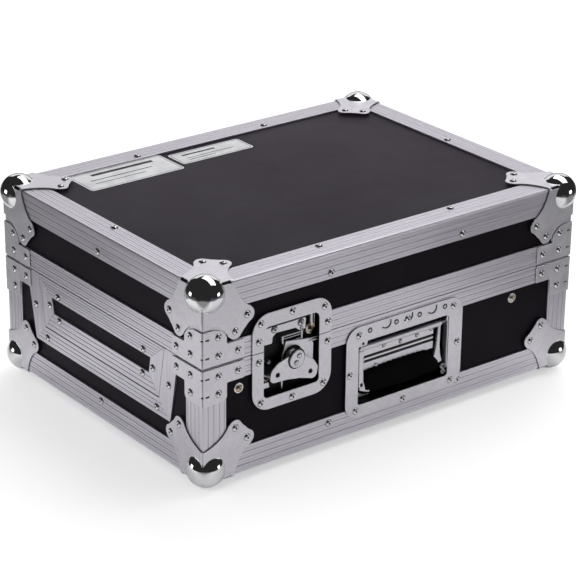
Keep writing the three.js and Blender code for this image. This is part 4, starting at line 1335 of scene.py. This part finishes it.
def add_handle_grip():
    """Moulded rubber grip: a crowned bar with rounded ends and shallow finger ribs."""
    start, stop = HANDLE_MOUTH[0] + 8.2, HANDLE_MOUTH[1] - 9
    rings = []
    steps = 72
    for i in range(steps + 1):
        t = i / steps
        end = min(t, 1 - t) * (stop - start)
        swell = math.sqrt(max(0.0, 1 - (1 - min(end / 9.0, 1)) ** 2))
        shrink = 0.72 + 0.28 * swell
        crown = GRIP_TOP - 2.2 * abs(2 * t - 1) ** 2.2 - 14 * max(0.0, t - 0.85) / 0.15
        rib = 0.35 * math.cos(2 * math.pi * t * 16) * min(1, end / 10)
        high = crown + rib
        middle = ((GRIP_BOTTOM + high) / 2, (GRIP_FRONT + GRIP_BACK) / 2)
        size = ((high - GRIP_BOTTOM) / 2 * shrink, (GRIP_FRONT - GRIP_BACK) / 2 * shrink)
        rings.append([(start + t * (stop - start), v, w) for v, w in superellipse(middle, size, 28)])
    grip = Build(on_side(1)).add(loft(rings))
    piece("handle_rubber_grip", "handle", grip, [GRIP], "handle_grip", sharp=60)


def add_handle_spring():
    """Torsion spring on the pin, its first leg resting on the dish's wall."""
    depth, height = HANDLE_AXIS
    start = HANDLE_MOUTH[1] - 10.2
    turns, per_turn, length = 5, 18, 5.0
    path = [(start, height - 9, -depth - 5.4), (start, height - 3, -depth - 3.2)]
    for i in range(turns * per_turn + 1):
        angle = 2 * math.pi * i / per_turn - 2.2
        path.append((start + length * i / (turns * per_turn), height + SPRING_RADIUS * math.sin(angle),
                     -depth + SPRING_RADIUS * math.cos(angle)))
    build = Build(on_side(1)).add(tube(path, SPRING_WIRE, 8))
    piece("handle_coil_spring", "base", build, [ZINC], "handle_spring")


# ----------------------------------------------------------------- rear hinge
def add_hinge():
    """Two leaves with knuckles in turn on one rod; u runs along X from the middle of the back."""
    back = placement(1, 1) @ Matrix.Translation((HALF_X, 0, 0))
    axis = Matrix.Translation((0, -HINGE_OFFSET, PARTING)) @ Matrix.Rotation(math.pi / 2, 4, "Y")
    pitch = 2 * HINGE_HALF / KNUCKLES
    for body, sign, first in (("base", -1, 0), ("lid", 1, 1)):
        build = Build(back)
        near, far = PARTING + sign * (KNUCKLE_RADIUS + 0.4), PARTING + sign * HINGE_LEAF
        leaf = rounded([(-HINGE_HALF, near), (HINGE_HALF, near), (HINGE_HALF, far), (-HINGE_HALF, far)],
                       [0.5, 0.5, 5, 5], 6)
        build.add(plate(leaf, PLATE_IN, PLATE_OUT, 0.4), 0, ON_FRONT)
        for k in range(first, KNUCKLES, 2):
            start = -HINGE_HALF + k * pitch + GAP
            stop = start + pitch - 2 * GAP
            tab = rectangle(start, stop, min(near, PARTING), max(near, PARTING) + 0.01)
            build.add(plate(tab, PLATE_IN, PLATE_OUT, 0.2), 0, ON_FRONT)
            ring = [(KNUCKLE_BORE, start), (KNUCKLE_RADIUS - 0.3, start), (KNUCKLE_RADIUS, start + 0.3),
                    (KNUCKLE_RADIUS, stop - 0.3), (KNUCKLE_RADIUS - 0.3, stop), (KNUCKLE_BORE, stop)]
            build.add(lathe(ring, 24, closed=True), 0, axis)
        piece(f"{body}_hinge_plate", body, build, [ZINC], f"{body}_hinge_leaf")
        rivets = [(40 * i, PARTING + sign * HINGE_RIVET) for i in range(-2, 3)]
        RIVETS.put(body, back @ ON_FRONT, rivets, PLATE_OUT, 0.9)
    tip = HINGE_HALF + 1
    pin = [(0, -tip), (1.9, -tip), (2.4, -tip + 0.5), (1.5, -tip + 1), (1.5, tip - 1),
           (2.4, tip - 0.5), (1.9, tip), (0, tip)]
    build = Build(back @ axis).add(lathe(pin, 20))
    piece("hinge_rod", "base", build, [CHROME], "hinge_pin")


# ------------------------------------------------------------- foam and feet
def soft_copy(node, voxel, swell):
    """The CAD solid's foam, remeshed, rounded and slightly uneven."""
    mesh = evaluated(
        NODES[node].data.copy(),
        ("BEVEL", {"width": 0.0025, "segments": 2}),
        ("REMESH", {"mode": "VOXEL", "voxel_size": voxel}),
        ("SMOOTH", {"factor": 0.5, "iterations": 3}))
    normals = [v.normal.copy() for v in mesh.vertices]
    for vert, normal in zip(mesh.vertices, normals):
        vert.co += normal * swell * (noise.noise(vert.co * 38) - 0.6)
    return solid_of(mesh)


def egg_crate(node):
    """Convoluted foam: peaks and hollows on the pad's lower face."""
    inset = Vector((0.0006,) * 3)
    low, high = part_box(node)
    depth = high.z - low.z
    low, high = low + inset, high - inset
    count_x = CRATE_STEPS * round((high.x - low.x) / CRATE_PITCH)
    count_y = CRATE_STEPS * round((high.y - low.y) / CRATE_PITCH)
    step = 2 * math.pi / CRATE_STEPS
    verts, faces = [], []
    for j in range(count_y + 1):
        for i in range(count_x + 1):
            x = low.x + (high.x - low.x) * i / count_x
            y = low.y + (high.y - low.y) * j / count_y
            wave = math.sin(step * i + 0.8) * math.sin(step * j + 0.8)
            edge = min(i, j, count_x - i, count_y - j) / 4
            rise = (CRATE_FLOOR + (1 - CRATE_FLOOR) * (0.5 + 0.5 * wave)) * min(1.0, 0.55 + 0.45 * edge)
            verts.append((x, y, high.z - depth * 0.97 * rise))
    row = count_x + 1
    for k in (j * row + i for j in range(count_y) for i in range(count_x)):
        faces.append((k, k + 1, k + row + 1, k + row))
    border = list(range(row))
    border += [j * row + count_x for j in range(1, count_y + 1)]
    border += [count_y * row + i for i in range(count_x - 1, -1, -1)]
    border += [j * row for j in range(count_y - 1, 0, -1)]
    top = range(len(verts), len(verts) + len(border))
    verts += [(verts[k][0], verts[k][1], high.z) for k in border]
    faces += bridge([border, top])
    faces.append(tuple(top))
    return verts, faces


def add_foam():
    tray = Build().add(soft_copy("base_foam_tray", 0.0035, 0.0006))
    piece("foam_tray", "base", tray, [FOAM], "base_foam_tray", sharp=80)
    pad = Build().add(egg_crate("lid_foam_pad"))
    piece("foam_lid_pad", "lid", pad, [FOAM], "lid_foam_pad", sharp=70)


def add_feet():
    """Turned rubber feet, each with a screw in its hollow."""
    for name, _, _ in corners():
        low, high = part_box("foot_" + name)
        centre = (low + high) / 2
        size = (high.x - low.x) / 2 / MM
        height = (high.z - low.z) / MM
        foot = [(0, 4.5), (3.0, 4.5), (3.3, 1.4), (3.9, 0.9), (5.0, 0.9), (5.6, 0), (size - 3.4, 0),
                (size - 1.7, 0.9), (size - 0.9, 2.4), (size - 0.4, height - 2), (size, height - 1),
                (size, height), (0, height)]
        screw = [(0, 2.9), (1.6, 2.9), (2.7, 3.6), (2.8, 5), (0, 5)]
        build = Build(Matrix.Translation((centre.x, centre.y, low.z)) @ Matrix.Scale(MM, 4))
        build.add(lathe(foot, 36))
        build.add(lathe(screw, 20), 1)
        piece("rubber_foot_" + name, "base", build, [FOOT, ZINC], "foot_" + name)


# ------------------------------------------------------- labels, boards, screws
def add_labels():
    """Two blank plates on the lid, with plain rules where a real one is printed."""
    place = placement(1, -1, True) @ ON_TOP @ at(0, 0, -BOARD_FACE)
    for name, box, rules in LABELS:
        u0, u1, v0, v1 = box
        build = Build(place).add(plate(rectangle(*box, 4), -0.1, 0.35, 0.15))
        rim = rectangle(*grown(box, -2.2), 2.6)
        build.add(plate(rim, 0.2, 0.39, 0, [offset(turned(rim, True), -0.6)]), 1)
        for across, start, stop, width in rules:
            u = u0 + (u1 - u0) * (1 - across)
            ends = [v0 + (v1 - v0) * share for share in (start, stop)]
            build.add(plate(rectangle(u - width / 2, u + width / 2, *ends, 0.5), 0.2, 0.39, 0), 1)
        piece(name, "lid", build, [LABEL, SHADE_AND_PRINT])


def add_board_screws():
    """Two brassy dome screws in cup washers, in the right board."""
    head = [(0, 1.5), (0.9, 1.5), (1.1, 2.7), (2.0, 2.6), (3.2, 1.9), (4.1, 0.9), (4.5, 0), (4.5, -0.4),
            (0, -0.4)]
    cup = [(4.0, 0.5), (5.4, 0.5), (5.8, 0.1), (5.8, -0.2), (4.0, -0.2)]
    build = Build(on_side(1))
    for u, v in SCREW_PLACES:
        build.add(lathe(head, 24), 0, at(u, v, -BOARD_FACE + 0.2))
        build.add(lathe(cup, 24, closed=True), 1, at(u, v, -BOARD_FACE + 0.1))
    piece("board_screws", "base", build, [BRASS, RIVET], sharp=45)


def finish_boards():
    for name, thing in NODES.items():
        if name.endswith("_board") or name == "v_door_panel":
            thing.data.materials.clear()
            thing.data.materials.append(LAMINATE)


# ------------------------------------------------------------ stage and camera
def painted_floor_reflection(shader):
    """Painted reflection: how bright the floor looks in the metal, darker off the corners and far out,
    brighter in front, and how far a point of it lies out from the case.
    """
    split = shader.node("ShaderNodeSeparateXYZ", {0: shader.coordinates})
    beyond = []
    for axis, half in (("X", HALF_X), ("Y", HALF_Y)):
        size = shader.math("ABSOLUTE", split.outputs[axis])
        beyond.append(shader.math("SUBTRACT", size, half * MM))
    out = shader.math("MAXIMUM", *beyond)
    corner = shader.ranged(shader.math("MINIMUM", *beyond), 1.0, 0.3, 0.0, 0.12)
    far = shader.ranged(out, 1.0, FLOOR_FAR, 0.45, 0.75)
    front = shader.ranged(split.outputs["Y"], FLOOR_FRONT, 1.0, -0.30, -0.15)
    zone = shader.math("MULTIPLY", corner, far)
    gain = shader.math("MULTIPLY", front, FLOOR_MIRRORED)
    return shader.math("MULTIPLY", zone, gain), out


def add_stage():
    """A pale floor: white to the camera, greyer in reflections, where its colour is a painted reflection,
    so that the metal keeps its tone.
    """
    mesh = bpy.data.meshes.new("floor")
    square = [(x * FLOOR_HALF, y * FLOOR_HALF, 0) for x, y in ((-1, -1), (1, -1), (1, 1), (-1, 1))]
    mesh.from_pydata(square, [], [(0, 1, 2, 3)])
    floor = bpy.data.objects.new("floor", mesh)
    bpy.context.scene.collection.objects.link(floor)
    shader = Shader("pale_floor", (0.9, 0.9, 0.9), 0.0, 0.8)
    mirrored, out = painted_floor_reflection(shader)
    seen = shader.ramp(shader.noise(3, 3), (0.93, 0.93, 0.935), (0.95, 0.95, 0.95))
    rays = shader.node("ShaderNodeLightPath")
    lift = shader.ranged(out, FLOOR_LIFT, 1.0, 0.5, 2.2)
    shader.set("Base Color", shader.mix(rays.outputs["Is Glossy Ray"], seen, mirrored))
    shader.set("Emission Color", (1, 1, 1))
    shader.set("Emission Strength", shader.math("MULTIPLY", lift, rays.outputs["Is Camera Ray"]))
    mesh.materials.append(shader.material)


def add_softbox(name, location, size, radiance, mirrored=True):
    """Rectangular lamp turned to the case, whose face shows the given brightness."""
    data = bpy.data.lights.new(name, "AREA")
    data.shape = "RECTANGLE"
    data.size, data.size_y = size
    data.energy = radiance * math.pi * size[0] * size[1]
    lamp = bpy.data.objects.new(name, data)
    lamp.location = location
    lamp.rotation_euler = (Vector(AIM) - Vector(location)).to_track_quat("-Z", "Y").to_euler()
    lamp.visible_glossy = mirrored
    bpy.context.scene.collection.objects.link(lamp)


def add_lights():
    """Overhead softbox and a few round the case."""
    add_softbox("overhead", *OVERHEAD)
    for name, bearing, height, size, radiance, mirrored in ROUND_LAMPS:
        x, y = arc((0, 0), LAMP_DISTANCE, bearing, bearing, 1)[0]
        add_softbox(name, (x, y, height), size, radiance, mirrored)


def add_sky():
    """A dim white room that is bright to the camera and almost dark in reflections."""
    world = bpy.data.worlds.new("studio")
    bpy.context.scene.world = world
    world.use_nodes = True
    tree = world.node_tree
    background = tree.nodes["Background"]
    background.inputs["Color"].default_value = (1, 1, 1, 1)
    rays = tree.nodes.new("ShaderNodeLightPath")
    source = None
    for output, strength in (("Is Glossy Ray", SKY_GLOSSY), ("Is Camera Ray", SKY_SEEN)):
        choice = tree.nodes.new("ShaderNodeMix")
        choice.data_type = "FLOAT"
        choice.inputs[2].default_value = SKY_DIFFUSE
        choice.inputs[3].default_value = strength
        tree.links.new(rays.outputs[output], choice.inputs[0])
        if source:
            tree.links.new(source, choice.inputs[2])
        source = choice.outputs[0]
    tree.links.new(source, background.inputs["Strength"])


def add_camera():
    """The photograph's view, from above the corner between the door and the handle."""
    turn, tilt, roll = CAMERA_TURN, CAMERA_TILT, CAMERA_ROLL
    back = Vector((math.sin(turn) * math.cos(tilt), -math.cos(turn) * math.cos(tilt), math.sin(tilt)))
    right = Vector((math.cos(turn), math.sin(turn), 0))
    up = back.cross(right)
    place = Vector((0, 0, BOTTOM * MM)) + back * CAMERA_DISTANCE + right * CAMERA_SHIFT + up * CAMERA_LIFT
    x_axis = right * math.cos(roll) + up * math.sin(roll)
    y_axis = up * math.cos(roll) - right * math.sin(roll)
    data = bpy.data.cameras.new("camera")
    data.sensor_width = CAMERA_SENSOR
    data.lens = CAMERA_LENS
    data.clip_end = CAMERA_REACH
    camera = bpy.data.objects.new("camera", data)
    rotation = Matrix((x_axis, y_axis, back)).transposed().to_4x4()
    camera.matrix_world = Matrix.Translation(place) @ rotation
    bpy.context.scene.collection.objects.link(camera)
    bpy.context.scene.camera = camera
    bpy.context.scene.view_settings.view_transform = "Standard"


add_extrusions()
add_ball_corners()
add_braces()
add_door_surround()
add_door()
for side_name, side in SIDES:
    add_keeper(side_name, side)
    add_latch_dish(side_name, side)
    add_latch_hook(side_name, side)
    add_spindle(side_name, side)
    add_twist_wing(side_name, side)
add_handle_dish()
add_handle_bail()
add_handle_grip()
add_handle_spring()
add_hinge()
add_foam()
add_feet()
add_labels()
add_board_screws()
add_edge_rivets()
RIVETS.finish()
finish_boards()
add_stage()
add_lights()
add_sky()
add_camera()
